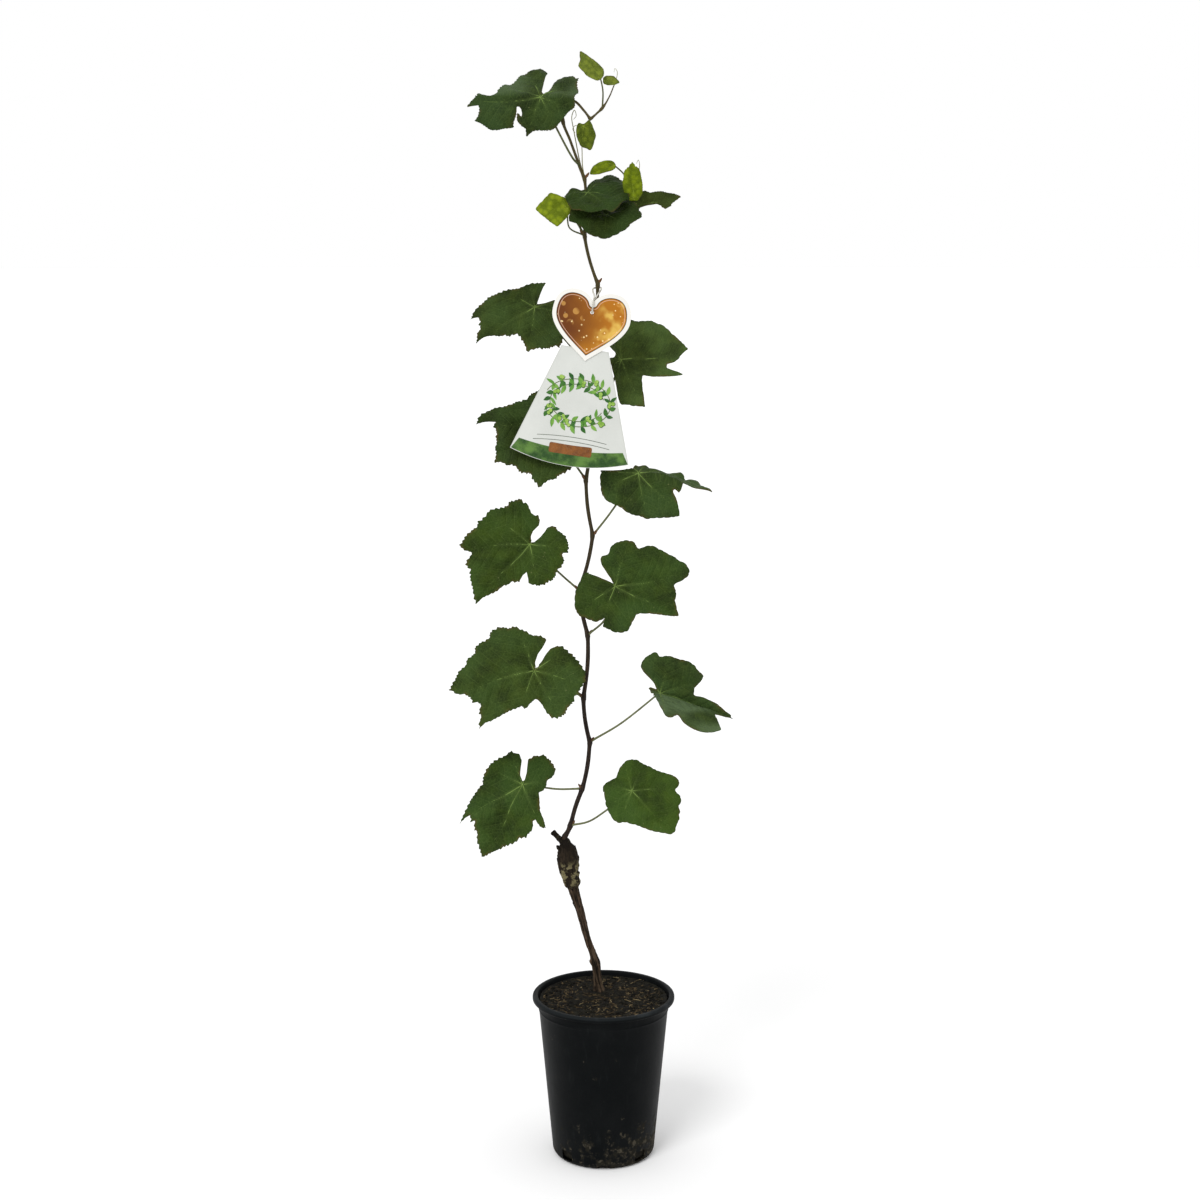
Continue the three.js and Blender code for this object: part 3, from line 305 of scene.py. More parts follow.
# The label: the heart hangs before the card, whose place is the middle of its top; LOOP is the
# string's way round the shoot, STRAND one of the string's two twisted strands.
TAG = dict(front=-16, thick=0.8, lean=-8.5, heart_at=(-15.5, 993), heart_wide=89, heart_tall=79,
           card_at=(-21, 968), card_top_wide=54, card_foot_wide=137, card_tall=124, card_sag=11,
           hole_radius=2, hole_up=15.8, cleft_up=26)
LOOP = dict(around=(-7.5, 20, 1034), reach=(4.6, 3.9), thick=1.2)
STRAND = dict(offset=0.5, radius=0.58, pitch=4)
HEART_THICK = 0.6
CARD_THICK = 0.55
INK_THICK = 0.06

# ---- nodes ---------------------------------------------------------------------------------


class Signal:
    """One output of a node tree; arithmetic on it adds Math nodes."""

    def __init__(self, owner, socket):
        self.owner = owner
        self.socket = socket

    def __add__(self, other):
        return self.owner.math("ADD", self, other)

    def __sub__(self, other):
        return self.owner.math("SUBTRACT", self, other)

    def __rsub__(self, other):
        return self.owner.math("SUBTRACT", other, self)

    def __mul__(self, other):
        return self.owner.math("MULTIPLY", self, other)

    def __truediv__(self, other):
        return self.owner.math("DIVIDE", self, other)

    def __pow__(self, other):
        return self.owner.math("POWER", self, other)

    __radd__ = __add__
    __rmul__ = __mul__


class Nodes:
    """Adds nodes to one tree: the settings first, then the values or links of their sockets."""

    def __init__(self, tree):
        self.tree = tree

    def plug(self, socket, value):
        if isinstance(value, Signal):
            self.tree.links.new(value.socket, socket)
        else:
            socket.default_value = value

    def node(self, kind, settings=None, inputs=None, output=0):
        """Returns the named or numbered output, or a list of them for a tuple of names."""
        made = self.tree.nodes.new(kind)
        for key, value in (settings or {}).items():
            setattr(made, key, value)
        for key, value in (inputs or {}).items():
            self.plug(made.inputs[key], value)
        if isinstance(output, tuple):
            return [Signal(self, made.outputs[name]) for name in output]
        return Signal(self, made.outputs[output])

    def math(self, operation, *values):
        return self.node("ShaderNodeMath", {"operation": operation}, dict(enumerate(values)))

    def between(self, value, low, high):
        """0 below low and 1 above high, with a soft step; the other way round if low > high."""
        return self.node("ShaderNodeMapRange", {"interpolation_type": "SMOOTHSTEP"},
                         {"Value": value, "From Min": low, "From Max": high})

    def vector(self, operation, first, second):
        """Vector arithmetic; to SCALE takes a number as its second value."""
        other = "Scale" if operation == "SCALE" else 1
        return self.node("ShaderNodeVectorMath", {"operation": operation},
                         {0: first, other: second})

    def noise(self, vector, scale, detail=3, roughness=0.55, distortion=0, output="Fac"):
        return self.node("ShaderNodeTexNoise", {},
                         {"Vector": vector, "Scale": scale, "Detail": detail,
                          "Roughness": roughness, "Distortion": distortion}, output)


class Finish(Nodes):
    """One material: a Principled shader, its fixed values, and the nodes that feed it."""

    def __init__(self, name, fixed):
        self.material = bpy.data.materials.new(name)
        self.material.use_nodes = True
        super().__init__(self.material.node_tree)
        self.shader = self.tree.nodes["Principled BSDF"]
        for socket, value in fixed.items():
            self.shader.inputs[socket].default_value = value

    def place(self):
        return self.node("ShaderNodeTexCoord", output="Object")

    def map(self, name):
        return self.node("ShaderNodeUVMap", {"uv_map": name})

    def split(self, vector):
        return self.node("ShaderNodeSeparateXYZ", {}, {0: vector}, ("X", "Y", "Z"))

    def stretch(self, vector, scale, turn=(0, 0, 0)):
        return self.node("ShaderNodeMapping", {},
                         {"Vector": vector, "Scale": scale, "Rotation": turn})

    def cells(self, vector, scale, feature="F1"):
        return self.node("ShaderNodeTexVoronoi", {"feature": feature},
                         {"Vector": vector, "Scale": scale}, "Distance")

    def mix(self, share, first, second):
        """The first colour where share is 0, the second where it is 1; a tuple is a tone."""
        first, second = (tone(*c) if isinstance(c, tuple) else c for c in (first, second))
        return self.node("ShaderNodeMix", {"data_type": "RGBA", "clamp_factor": True},
                         {0: share, 6: first, 7: second}, 2)

    def coats(self, colour, *coats):
        """Lays coats over a colour; each is its share and its tone."""
        for share, over in coats:
            colour = self.mix(share, colour, over)
        return colour

    def bump(self, height, distance, strength):
        return self.node("ShaderNodeBump", {},
                         {"Height": height, "Distance": distance, "Strength": strength})

    def done(self, colour, roughness, normal):
        made = {"Base Color": colour, "Roughness": roughness, "Normal": normal}
        for socket, value in made.items():
            self.plug(self.shader.inputs[socket], value)
        return self.material


class Growth(Nodes):
    """A geometry tree with named inputs that ends in Realize Instances and Set Material."""

    def __init__(self, name, inputs):
        super().__init__(bpy.data.node_groups.new(name, "GeometryNodeTree"))
        face = self.tree.interface
        face.new_socket("Source", in_out="INPUT", socket_type="NodeSocketGeometry")
        for label, kind in inputs.items():
            face.new_socket(label, in_out="INPUT", socket_type="NodeSocket" + kind)
        face.new_socket("Result", in_out="OUTPUT", socket_type="NodeSocketGeometry")
        self.start = self.tree.nodes.new("NodeGroupInput")

    def given(self, label):
        return Signal(self, self.start.outputs[label])

    def random(self, low, high, seed, kind="FLOAT"):
        """A random value for each point, or a random vector if kind is FLOAT_VECTOR."""
        first, output = (0, 0) if kind == "FLOAT_VECTOR" else (2, 1)
        return self.node("FunctionNodeRandomValue", {"data_type": kind},
                         {first: low, first + 1: high, "Seed": seed}, output)

    def strewn(self):
        """Random points on the source's faces, and the turn of the face at each."""
        return self.node("GeometryNodeDistributePointsOnFaces", {},
                         {"Mesh": self.given("Source"), "Density": self.given("Density"),
                          "Seed": self.given("Seed")}, ("Points", "Rotation"))

    def twisted(self, turn, low, high, seed):
        """A turn with a random twist of its own for each point."""
        twist = self.random(low, high, seed, "FLOAT_VECTOR")
        return self.node("FunctionNodeRotateRotation", {"rotation_space": "LOCAL"},
                         {"Rotation": turn, "Rotate By": twist})

    def laid(self, points, bit, turn, scale):
        """A copy of the bit on each point, as plain geometry."""
        copies = self.node("GeometryNodeInstanceOnPoints", {},
                           {"Points": points, "Instance": bit, "Rotation": turn, "Scale": scale})
        return self.node("GeometryNodeRealizeInstances", {}, {0: copies})

    def shifted(self, shape, way, reach):
        """The shape with its points moved along a way."""
        push = self.vector("SCALE", way, reach)
        return self.node("GeometryNodeSetPosition", {}, {"Geometry": shape, "Offset": push})

    def wandering(self, shape, size, detail, reach, middle=0.5, rise=1):
        """The shape shaken by a noise; middle is taken off its height, and rise scales that."""
        wild = self.noise(self.node("GeometryNodeInputPosition"), size, detail, output="Color")
        way = self.vector("SUBTRACT", wild, (0.5, 0.5, middle))
        return self.shifted(shape, self.vector("MULTIPLY", way, (1, 1, rise)), reach)

    def skinned(self, line, ring, inputs):
        """A closed tube along a line, with a ring of the given sides and size as its section."""
        section = self.node("GeometryNodeCurvePrimitiveCircle", {}, ring)
        return self.node("GeometryNodeCurveToMesh", {},
                         {"Curve": line, "Profile Curve": section, "Fill Caps": True, **inputs})

    def done(self, shape):
        solid = self.node("GeometryNodeRealizeInstances", {}, {0: shape})
        dressed = self.node("GeometryNodeSetMaterial", {},
                            {"Geometry": solid, "Material": self.given("Finish")})
        end = self.tree.nodes.new("NodeGroupOutput")
        self.plug(end.inputs[0], dressed)
        return self.tree


def placed(name, data):
    """A mesh, light or camera as an object of the scene."""
    made = bpy.data.objects.new(name, data)
    bpy.context.scene.collection.objects.link(made)
    return made


def settled(holder):
    """The plain mesh that an object's modifiers make; the object itself is removed."""
    holder.update_tag()
    bpy.context.view_layer.update()
    mesh = bpy.data.meshes.new_from_object(
        holder.evaluated_get(bpy.context.evaluated_depsgraph_get()))
    bpy.data.objects.remove(holder)
    return mesh


def grow(tree, source, values):
    """The plain mesh that a geometry tree makes from a source mesh."""
    holder = placed("source", source)
    modifier = holder.modifiers.new("growth", "NODES")
    modifier.node_group = tree
    for item in tree.interface.items_tree:
        if item.in_out == "INPUT" and item.name in values:
            modifier[item.identifier] = values[item.name]
    return settled(holder)


def tone(red, green, blue):
    """A colour given as screen values up to 255, as the linear colour that a shader uses."""
    shares = [value / 255 for value in (red, green, blue)]
    return (*[s / 12.92 if s <= 0.04045 else ((s + 0.055) / 1.055) ** 2.4 for s in shares], 1)


# ---- meshes --------------------------------------------------------------------------------


def triangle_mesh(points, faces, maps=None):
    """A mesh from points in millimetres and triangles; maps hold a place for each corner."""
    mesh = bpy.data.meshes.new("triangles")
    mesh.vertices.add(len(points))
    mesh.vertices.foreach_set("co", (np.asarray(points, float) / 1000).ravel())
    mesh.loops.add(3 * len(faces))
    mesh.loops.foreach_set("vertex_index", np.asarray(faces, np.int32).ravel())
    mesh.polygons.add(len(faces))
    mesh.polygons.foreach_set("loop_start", np.arange(0, 3 * len(faces), 3, dtype=np.int32))
    mesh.update(calc_edges=True)
    for key, places in (maps or {}).items():
        layer = mesh.uv_layers.new(name=key)
        layer.uv.foreach_set("vector", np.asarray(places, float).ravel())
    return mesh


def join(parts):
    """One list of points and one of triangles from several."""
    points, faces, count = [], [], 0
    for more, triangles in parts:
        points.append(more)
        faces.append(np.asarray(triangles) + count)
        count += len(more)
    return np.concatenate(points), np.concatenate(faces)


def add_piece(mesh, name, material, nodes=(), sharp=55):
    """Puts a finished mesh in the scene as a piece that rides on the plant."""
    mesh.name = name
    mesh.materials.clear()
    mesh.materials.append(material)
    mesh.shade_smooth()
    mesh.set_sharp_from_angle(angle=math.radians(sharp))
    piece = placed(name, mesh)
    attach(piece, "root")
    if nodes:
        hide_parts(*nodes)


def unit(vectors):
    """Each vector at length 1."""
    return vectors / np.linalg.norm(vectors, axis=-1, keepdims=True)


def waves(points, size, dice, count=7):
    """A smooth random relief of about -1 to 1, whose humps are about `size` across."""
    total = np.zeros(len(points))
    for _ in range(count):
        push = unit(dice.normal(size=points.shape[1])) * math.pi / size * dice.uniform(0.6, 1.5)
        total += np.sin(points @ push + dice.uniform(0, 2 * math.pi))
    return total / math.sqrt(count)


def soft_path(corners, steps):
    """Evenly numbered points on a centripetal curve through the corners."""
    corners = [np.array(corner, float) for corner in corners]
    corners = [2 * corners[0] - corners[1], *corners, 2 * corners[-1] - corners[-2]]
    points = []
    for share in np.linspace(0, len(corners) - 3, steps + 1):
        k = min(int(share), len(corners) - 4)
        t = share - k
        before, start, end, after = corners[k:k + 4]
        gaps = [math.sqrt(np.linalg.norm(b - a)) for a, b in
                ((before, start), (start, end), (end, after))]
        chord = (end - start) / gaps[1]
        leave = (start - before) / gaps[0] - (end - before) / (gaps[0] + gaps[1]) + chord
        arrive = chord - (after - start) / (gaps[1] + gaps[2]) + (after - end) / gaps[2]
        leave, arrive = leave * gaps[1], arrive * gaps[1]
        points.append(start + leave * t + (3 * (end - start) - 2 * leave - arrive) * t ** 2
                      + (2 * (start - end) + leave + arrive) * t ** 3)
    return np.array(points)


def frames_along(path):
    """For each point of a path, two directions square to it that turn as little as can be."""
    along = unit(np.gradient(path, axis=0))
    across = np.array([0.0, 1.0, 0.0])
    first, second = [], []
    for way in along:
        across = unit(across - way * (across @ way))
        first.append(across)
        second.append(np.cross(way, across))
    return np.array(first), np.array(second)


def skin_faces(rings, sides):
    """Triangles of a closed skin of rings, whose two end points are the last ones."""
    a = np.arange((rings - 1) * sides)
    b = a // sides * sides + (a + 1) % sides
    k = np.arange(sides)
    nxt = (k + 1) % sides
    last = (rings - 1) * sides
    foot, head = np.full(sides, rings * sides), np.full(sides, rings * sides + 1)
    return np.concatenate([
        np.stack([a, b, b + sides], axis=1), np.stack([a, b + sides, a + sides], axis=1),
        np.stack([foot, nxt, k], axis=1), np.stack([head, last + k, last + nxt], axis=1),
    ])


def run_length(path):
    """How far along the path each of its points lies."""
    return np.concatenate([[0], np.cumsum(np.linalg.norm(np.diff(path, axis=0), axis=1))])


def limb(path, radii, sides, relief=None):
    """A closed limb of round section; relief is a height for each place (turn, length)."""
    first, second = frames_along(path)
    turn = 2 * math.pi * np.arange(sides) / sides
    reach = np.repeat(np.asarray(radii, float)[:, None], sides, axis=1)
    if relief is not None:
        reach = reach + relief(*np.meshgrid(turn, run_length(path)))
    out = first[:, None] * np.cos(turn)[:, None] + second[:, None] * np.sin(turn)[:, None]
    skin = (path[:, None] + out * reach[..., None]).reshape(-1, 3)
    return np.concatenate([skin, path[:1], path[-1:]]), skin_faces(len(path), sides)


# ---- flat outlines made into thin bodies ---------------------------------------------------


def inside(points, rim):
    """Which flat points lie within a closed outline."""
    x, y = points[:, :1], points[:, 1:]
    x0, y0 = rim.T
    x1, y1 = np.roll(rim, -1, axis=0).T
    with np.errstate(divide="ignore", invalid="ignore"):
        at = x0 + (y - y0) * (x1 - x0) / (y1 - y0)
    return (((y0 > y) != (y1 > y)) & (x < at)).sum(axis=1) % 2 == 1


def gap_to(points, others):
    """How far each flat point lies from the nearest of the others."""
    return np.sqrt(((points[:, None] - others[None]) ** 2).sum(axis=2).min(axis=1))


def fill(rim, spacing, creases, holes=()):
    """Flat points and triangles within an outline: an even lattice that keeps the creases."""
    low, high = rim.min(axis=0), rim.max(axis=0)
    rows = np.arange(low[1], high[1], spacing * math.sqrt(0.75))
    columns = np.arange(low[0], high[0], spacing)
    spots = np.array([(x + spacing / 2 * (k % 2), y) for k, y in enumerate(rows) for x in columns])
    keep = inside(spots, rim)
    for line in (rim, *creases, *holes):
        keep &= gap_to(spots, line) > 0.6 * spacing
    for hole in holes:
        keep &= ~inside(spots, hole)
    points, edges, count = [], [], 0
    for line, closed in [(rim, True), *[(c, False) for c in creases], *[(h, True) for h in holes]]:
        points.append(line)
        edges += [(count + k, count + k + 1) for k in range(len(line) - 1)]
        if closed:
            edges.append((count + len(line) - 1, count))
        count += len(line)
    points = np.concatenate([*points, spots[keep]])
    made = geometry.delaunay_2d_cdt([Vector(p) for p in points], edges, [], 1, 1e-4, False)
    flat = np.array([tuple(v) for v in made[0]])
    triangles = np.array([face for face in made[2] if len(face) == 3])
    middles = flat[triangles].mean(axis=1)
    wanted = inside(middles, rim)
    for hole in holes:
        wanted &= ~inside(middles, hole)
    triangles = triangles[wanted]
    a, b, c = (flat[triangles[:, k]] for k in range(3))
    area = (b[:, 0] - a[:, 0]) * (c[:, 1] - a[:, 1]) - (b[:, 1] - a[:, 1]) * (c[:, 0] - a[:, 0])
    triangles[area < 0] = triangles[area < 0][:, ::-1]
    return flat, triangles


def thicken(points, triangles, above, below):
    """A closed body from a surface, pushed out both ways along its normals. Also returns the
    surface point of each corner and the surface triangle that each face belongs to."""
    a, b, c = (points[triangles[:, k]] for k in range(3))
    flat = np.cross(b - a, c - a)
    normal = np.zeros_like(points)
    for k in range(3):
        np.add.at(normal, triangles[:, k], flat)
    normal = unit(normal)
    half, count = len(points), len(triangles)
    edges = np.concatenate([triangles[:, [0, 1]], triangles[:, [1, 2]], triangles[:, [2, 0]]])
    _, index, used = np.unique(np.sort(edges, axis=1), axis=0, return_index=True,
                               return_counts=True)
    index = index[used == 1]
    start, end = edges[index].T
    faces = np.concatenate([
        triangles, triangles[:, ::-1] + half,
        np.stack([start, start + half, end + half], axis=1),
        np.stack([start, end + half, end], axis=1),
    ])
    owner = np.concatenate([np.arange(count), np.arange(count), index % count, index % count])
    above, below = (np.reshape(t, (-1, 1)) * np.ones((half, 1)) for t in (above, below))
    body = np.concatenate([points + normal * above, points - normal * below])
    return body, faces, faces % half, owner


def bezier(steps, *corners):
    """Points on a Bezier curve, without its end."""
    t = np.linspace(0, 1, steps, endpoint=False)[:, None]
    level = [np.array(corner, float)[None] for corner in corners]
    while len(level) > 1:
        level = [a * (1 - t) + b * t for a, b in zip(level, level[1:])]
    return level[0]


# ---- leaf blades ---------------------------------------------------------------------------

RIM_STEP = 0.75  # spacing of the points along a blade's margin
VEIN_AIMS = (-158, -112, -56, 0, 56, 112, 158)  # where the main veins run, from the blade's middle
SIDE_VEIN = 50  # degrees between a main vein and its side veins


def polar(degrees, reach):
    """The flat point at an angle from the midrib and a reach from the stalk."""
    turn = math.radians(degrees)
    return np.array([math.cos(turn), math.sin(turn)]) * reach


def corners_of(leaf):
    """Corners of the margin as flat points: as listed, or the bay, lobe tips and cuts between."""
    if "edge" in leaf:
        return [polar(*corner) for corner in (*leaf["edge"], leaf["edge"][0])]
    lobes = leaf["lobes"]
    back = (lobes[0][0] + lobes[-1][0] + 360) / 2
    corners = [polar(back, leaf["bay"])]
    for (angle, reach), (next_angle, next_reach), cut in zip(lobes, lobes[1:], leaf["cuts"]):
        share = reach / (reach + next_reach)
        straight = polar(angle, reach) * (1 - share) + polar(next_angle, next_reach) * share
        corners += [polar(angle, reach), cut * straight]
    return [*corners, polar(*lobes[-1]), polar(back, leaf["bay"])]


def margin(leaf, dice):
    """The outline of a blade, anticlockwise: pointed teeth, or soft scallops on smooth leaves."""
    corners = corners_of(leaf)
    base = []
    for k, (start, end) in enumerate(zip(corners, corners[1:])):
        edge = end - start
        straight = "edge" in leaf or k in (0, len(corners) - 2)
        control = (start + end) / 2 + (0 if straight else SWELL) * np.array([edge[1], -edge[0]])
        count = max(2, round(np.linalg.norm(edge) / RIM_STEP))
        for t in np.arange(count) / count:
            base.append((1 - t) ** 2 * start + 2 * t * (1 - t) * control + t * t * end)
    base = np.array(base)
    for _ in range(leaf["round"]):
        base = (np.roll(base, 1, axis=0) + 2 * base + np.roll(base, -1, axis=0)) / 4

    # Teeth of uneven width and height, which lean towards the nearest tip.
    run = np.roll(base, -1, axis=0) - np.roll(base, 1, axis=0)
    length = np.cumsum(np.linalg.norm(run, axis=1)) / 2
    soft = leaf["round"] > 4
    pitch = 3.5 + 2.8 * leaf["teeth"] if soft else 1.4 + 1.7 * leaf["teeth"]
    widths = pitch * dice.uniform(0.5, 1.5, int(length[-1] / pitch))
    ends = np.concatenate([[0], np.cumsum(widths) / widths.sum() * length[-1]])
    tooth = np.clip(np.searchsorted(ends, length) - 1, 0, len(widths) - 1)
    t = np.clip((length - ends[tooth]) / (ends[tooth + 1] - ends[tooth]), 0, 1)
    reach = np.linalg.norm(base, axis=1)
    falling = np.roll(reach, -2) < np.roll(reach, 2)
    t = np.where(falling, 1 - t, t)
    if soft:
        height = np.sqrt(np.clip(1 - (2 * t - 1) ** 2, 0, 1)) * 0.75
    else:
        height = np.where(t < 0.72, t / 0.72, (1 - t) / 0.28) ** 1.15
    out = np.stack([run[:, 1], -run[:, 0]], axis=1) / np.linalg.norm(run, axis=1)[:, None]
    facing = np.abs((out * base).sum(axis=1)) / reach
    edged = np.clip(4 * reach / reach.max() - 1, 0, 1)
    size = leaf["teeth"] * (widths / pitch) ** 0.9 * dice.uniform(0.55, 1.2, len(widths))
    return base + out * (size[tooth] * (height - 0.45) * facing * edged)[:, None]


def main_veins(leaf):
    """Direction and length of each vein that runs from the stalk to a chief lobe."""
    lobes = leaf["lobes"]
    middle = (lobes[0][0] + lobes[-1][0]) / 2
    found = {}
    for aim in VEIN_AIMS:
        angle, reach = min(lobes, key=lambda lobe: abs(lobe[0] - middle - aim))
        if abs(angle - middle - aim) < 30:
            found[angle] = reach
    return np.array(sorted(found.items()), float)


class Veins:
    """Where a blade's places lie among its veins."""

    def __init__(self, leaf, dice):
        self.angle, self.reach = main_veins(leaf).T
        lobes = leaf["lobes"]
        self.back = (lobes[0][0] + lobes[-1][0] - 360) / 2
        self.spacing = max(reach for _, reach in lobes) / 8.5
        self.offset = dice.uniform(0, 1, len(self.angle) + 1)

    def sector(self, flat):
        """The nearest main vein of each place, and the gap between veins that it is in."""
        turn = np.degrees(np.arctan2(flat[:, 1], flat[:, 0]))
        turn = (turn - self.back) % 360 + self.back
        vein = np.abs(turn[:, None] - self.angle).argmin(axis=1)
        return vein, np.searchsorted(self.angle, turn)

    def measure(self, flat, vein, gap):
        """Along and across the vein, the share of it passed, and the count of side veins."""
        reach = np.hypot(*flat.T)
        sway = 0.05 * np.sin(reach / (1.6 * self.spacing) + 6 * self.offset[vein])
        turn = np.arctan2(flat[:, 1], flat[:, 0]) - np.radians(self.angle[vein]) - sway
        along = np.maximum(reach * np.cos(turn), 0)
        across = np.abs(reach * np.sin(turn))
        lean = 1 / math.tan(math.radians(SIDE_VEIN)) - 0.35 * across / self.reach.max()
        count = (along - across * lean) / self.spacing + self.offset[gap]
        return along, across, along / self.reach[vein], count


def bend(leaf, flat, lift):
    """Bends the flat blade, with its own relief, as the part's blade is bent."""
    u, v = flat.T
    reach = max(length for _, length in leaf["lobes"])
    side = np.radians(np.where(v < 0, *leaf["fold"]))
    soft = np.sqrt(v * v + 4) - 2
    hang = leaf["slope"][0] * u + leaf["slope"][1] * v - leaf["dome"] * (u * u + v * v) / reach
    across = np.sign(v) * (np.abs(v) - soft * (1 - np.cos(side))) - lift * np.sin(side) * np.sign(v)
    return np.stack([u, across, soft * np.sin(side) + hang + lift * np.cos(side)], axis=1)


def blade_axes(leaf):
    """Columns: along the midrib, across it, and out of the blade's face."""
    tip = math.radians(leaf["tip"])
    along = Vector((math.cos(tip), 0, math.sin(tip)))
    face = Vector((0, -1, 0))
    across = face.cross(along)
    lean = Matrix.Rotation(-math.radians(leaf["lean"]), 3, across)
    along, face = lean @ along, lean @ face
    turn = Matrix.Rotation(math.radians(leaf["turn"]), 3, along)
    return np.array([along, turn @ across, turn @ face]).T


def blade_mesh(leaf, spacing, seed):
    """One blade: toothed, puffed up between its veins, with ribs on its underside."""
    dice = np.random.default_rng(seed)
    rim = margin(leaf, dice)
    veins = Veins(leaf, dice)
    creases = []
    for angle, reach in zip(veins.angle, veins.reach):
        crease = np.outer(np.arange(0, reach, spacing), polar(angle, 1))
        clear = inside(crease + 1e-4, rim) & (gap_to(crease, rim) > 0.5 * spacing)
        creases.append(crease[:max(2, int(np.argmin([*clear, False])))])
    flat, triangles = fill(rim, spacing, creases)
    _, across, share, count = veins.measure(flat, *veins.sector(flat))
    edge = gap_to(flat, rim)
    full = veins.reach.max()
    size = full / 90
    turn = np.arctan2(flat[:, 1], flat[:, 0])
    groove = np.exp(-((across / (1.6 * size + 0.3)) ** 2)) * np.clip(1.2 - share, 0, 1)
    pocket = np.clip((across - 1) / (8 * size), 0, 1)
    quilt = (0.5 - 0.5 * np.cos(2 * math.pi * count)) * pocket * np.clip(edge / 7, 0.25, 1)
    ruffle = np.sin(turn * 9 + dice.uniform(0, 6)) * np.exp(-edge / (9 * size))
    lift = size * (0.55 * quilt + 1.2 * pocket - 0.5 * groove + 1.6 * ruffle
                   - 1.4 * np.exp(-edge / 3) + 2.2 * waves(flat, 30 * size, dice)
                   + 0.6 * waves(flat, 8 * size + 2, dice))
    lift -= lift[np.hypot(*flat.T).argmin()]
    middle = bend(leaf, flat, lift) @ blade_axes(leaf).T + np.array(leaf["at"])
    rib = np.exp(-((across / (0.9 * size + 0.2)) ** 2)) * np.clip(1.1 - share, 0, 1)
    body, faces, base, owner = thicken(middle, triangles, 0.2, 0.2 + 0.9 * size * rib)

    # Maps for the finish; a face takes the vein nearest to its middle for all its corners.
    vein, gap = veins.sector(flat[triangles].mean(axis=1))
    corner = base.ravel()
    measures = veins.measure(flat[corner], np.repeat(vein[owner], 3), np.repeat(gap[owner], 3))
    under = np.zeros(len(faces))
    under[len(triangles):2 * len(triangles)] = 1
    low, wide = flat.min(axis=0), np.ptp(flat, axis=0)
    sheet = (flat[corner] - low) / wide * (0.46, 0.96) + 0.02
    sheet[:, 0] += 0.5 * np.repeat(under, 3)
    maps = {
        "OFBake": sheet,
        "flat": flat[corner] / 1000,
        "vein": np.stack([measures[0], measures[1]], axis=1) / 1000,
        "rib": np.stack([measures[3], np.repeat(under, 3)], axis=1),
        "edge": np.stack([edge[corner] / 1000, measures[2]], axis=1),
    }
    return triangle_mesh(body, faces, maps)


def leaf_finish(leaf, vein, size, seed):
    """A green blade with pale main veins that fade outwards, a faint net and worn edges."""

    def shade(share, add=0, warm=0):
        """The leaf's green made darker or lighter by a share, paler or warmer by a sum."""
        red, green, blue = (share * c + add for c in leaf["green"])
        return (0.95 * red + warm, green, 0.78 * blue - warm / 2)

    finish = Finish(leaf["name"] + "_finish",
                    {"Specular IOR Level": 0.04, "Diffuse Roughness": 0.3})
    flat = finish.map("flat")
    shifted = finish.vector("ADD", flat, (0.37 * seed, 0.21 * seed, 0))
    _, across, _ = finish.split(finish.map("vein"))
    count, under, _ = finish.split(finish.map("rib"))
    edge, share, _ = finish.split(finish.map("edge"))
    broad = finish.noise(shifted, 13, 2)
    cloud = finish.noise(shifted, 26, 3)
    blotch = finish.noise(shifted, 62, 3)
    speckle = finish.noise(shifted, 420, 3)
    net = finish.cells(shifted, 330 / size, "DISTANCE_TO_EDGE")
    young = leaf in YOUNG
    side = finish.math("PINGPONG", count, 0.5)

    width = 0.00062 * size - 0.0004 * size * share
    main_line = finish.between(across, width, width * 0.5) * finish.between(share, 1.1, 0.2)
    halo = finish.between(across, 0.003 * size, 0.0005) * finish.between(share, 0.7, 0.05)
    side_line = finish.between(side, 0.045, 0.01) * finish.between(edge, 0.0, 0.012 * size)
    crest = finish.between(side, 0.02, 0.4)

    # A folded half (v below 0) turns pale grey-green in broad patches: a painted sheen.
    painted_gleam = finish.between(finish.split(flat)[1], 0.001, -0.002) * finish.between(broad, 0.34, 0.62)
    worn = finish.between(edge, 0.0035 * size, 0.0) * finish.between(blotch, 0.46, 0.64)
    fleck = finish.between(finish.cells(shifted, 95 / size), 0.09, 0.05)
    fleck = fleck * finish.between(finish.noise(shifted, 30, 1), 0.54, 0.6)
    if young:
        # Young blades are lighter on their raised bulges: a painted highlight.
        bulge = finish.between(finish.cells(shifted, 170), 0.75, 0.2)
        colour = finish.mix(bulge * 0.5, shade(0.78), shade(1.15, 8, 6))
        crest = crest * 0.3 + bulge
    else:
        colour = finish.coats(
            finish.mix(finish.between(cloud, 0.36, 0.62), shade(0.6), shade(0.9)),
            (finish.between(blotch, 0.42, 0.68) * 0.45, shade(1.02, 0, 4)),
            # broad patches paler and greyer: a painted grey sheen
            (finish.between(broad, 0.44, 0.62) * 0.45, shade(0.8, 16, -6)),
            # lighter where the blade puffs up between side veins: a painted highlight
            (crest * 0.16, shade(0.98)),
            # painted sheen on the folded half, as strong as the leaf's sheen value
            (painted_gleam * leaf.get("sheen", 0), (96, 112, 84)),
            (finish.between(speckle, 0.45, 0.75) * 0.25, shade(0.6)),
        )
    colour = finish.coats(
        colour,
        (halo * 0.12, vein),
        (finish.between(net, 0.08, 0.01) * (0.2 if young else 0.08), vein),
        (side_line * (0.4 if young else 0.14), vein),
        (main_line * 0.9, vein),
        (worn * 0.55, (84, 66, 38)),
        (finish.between(edge, 0.0012, 0.0) * 0.3, shade(0.5)),
        (fleck * 0.45, (112, 116, 74)),
        (under * 0.6, shade(0.6, 36)),
    )

    height = crest * 0.6 - main_line * 0.8 - side_line * 0.5 + finish.between(net, 0, 0.3) * 0.3
    normal = finish.bump(height + speckle * 0.25, 0.0006 * size, 0.9)
    return finish.done(colour, 0.48 + speckle * 0.2 + under * 0.15, normal)


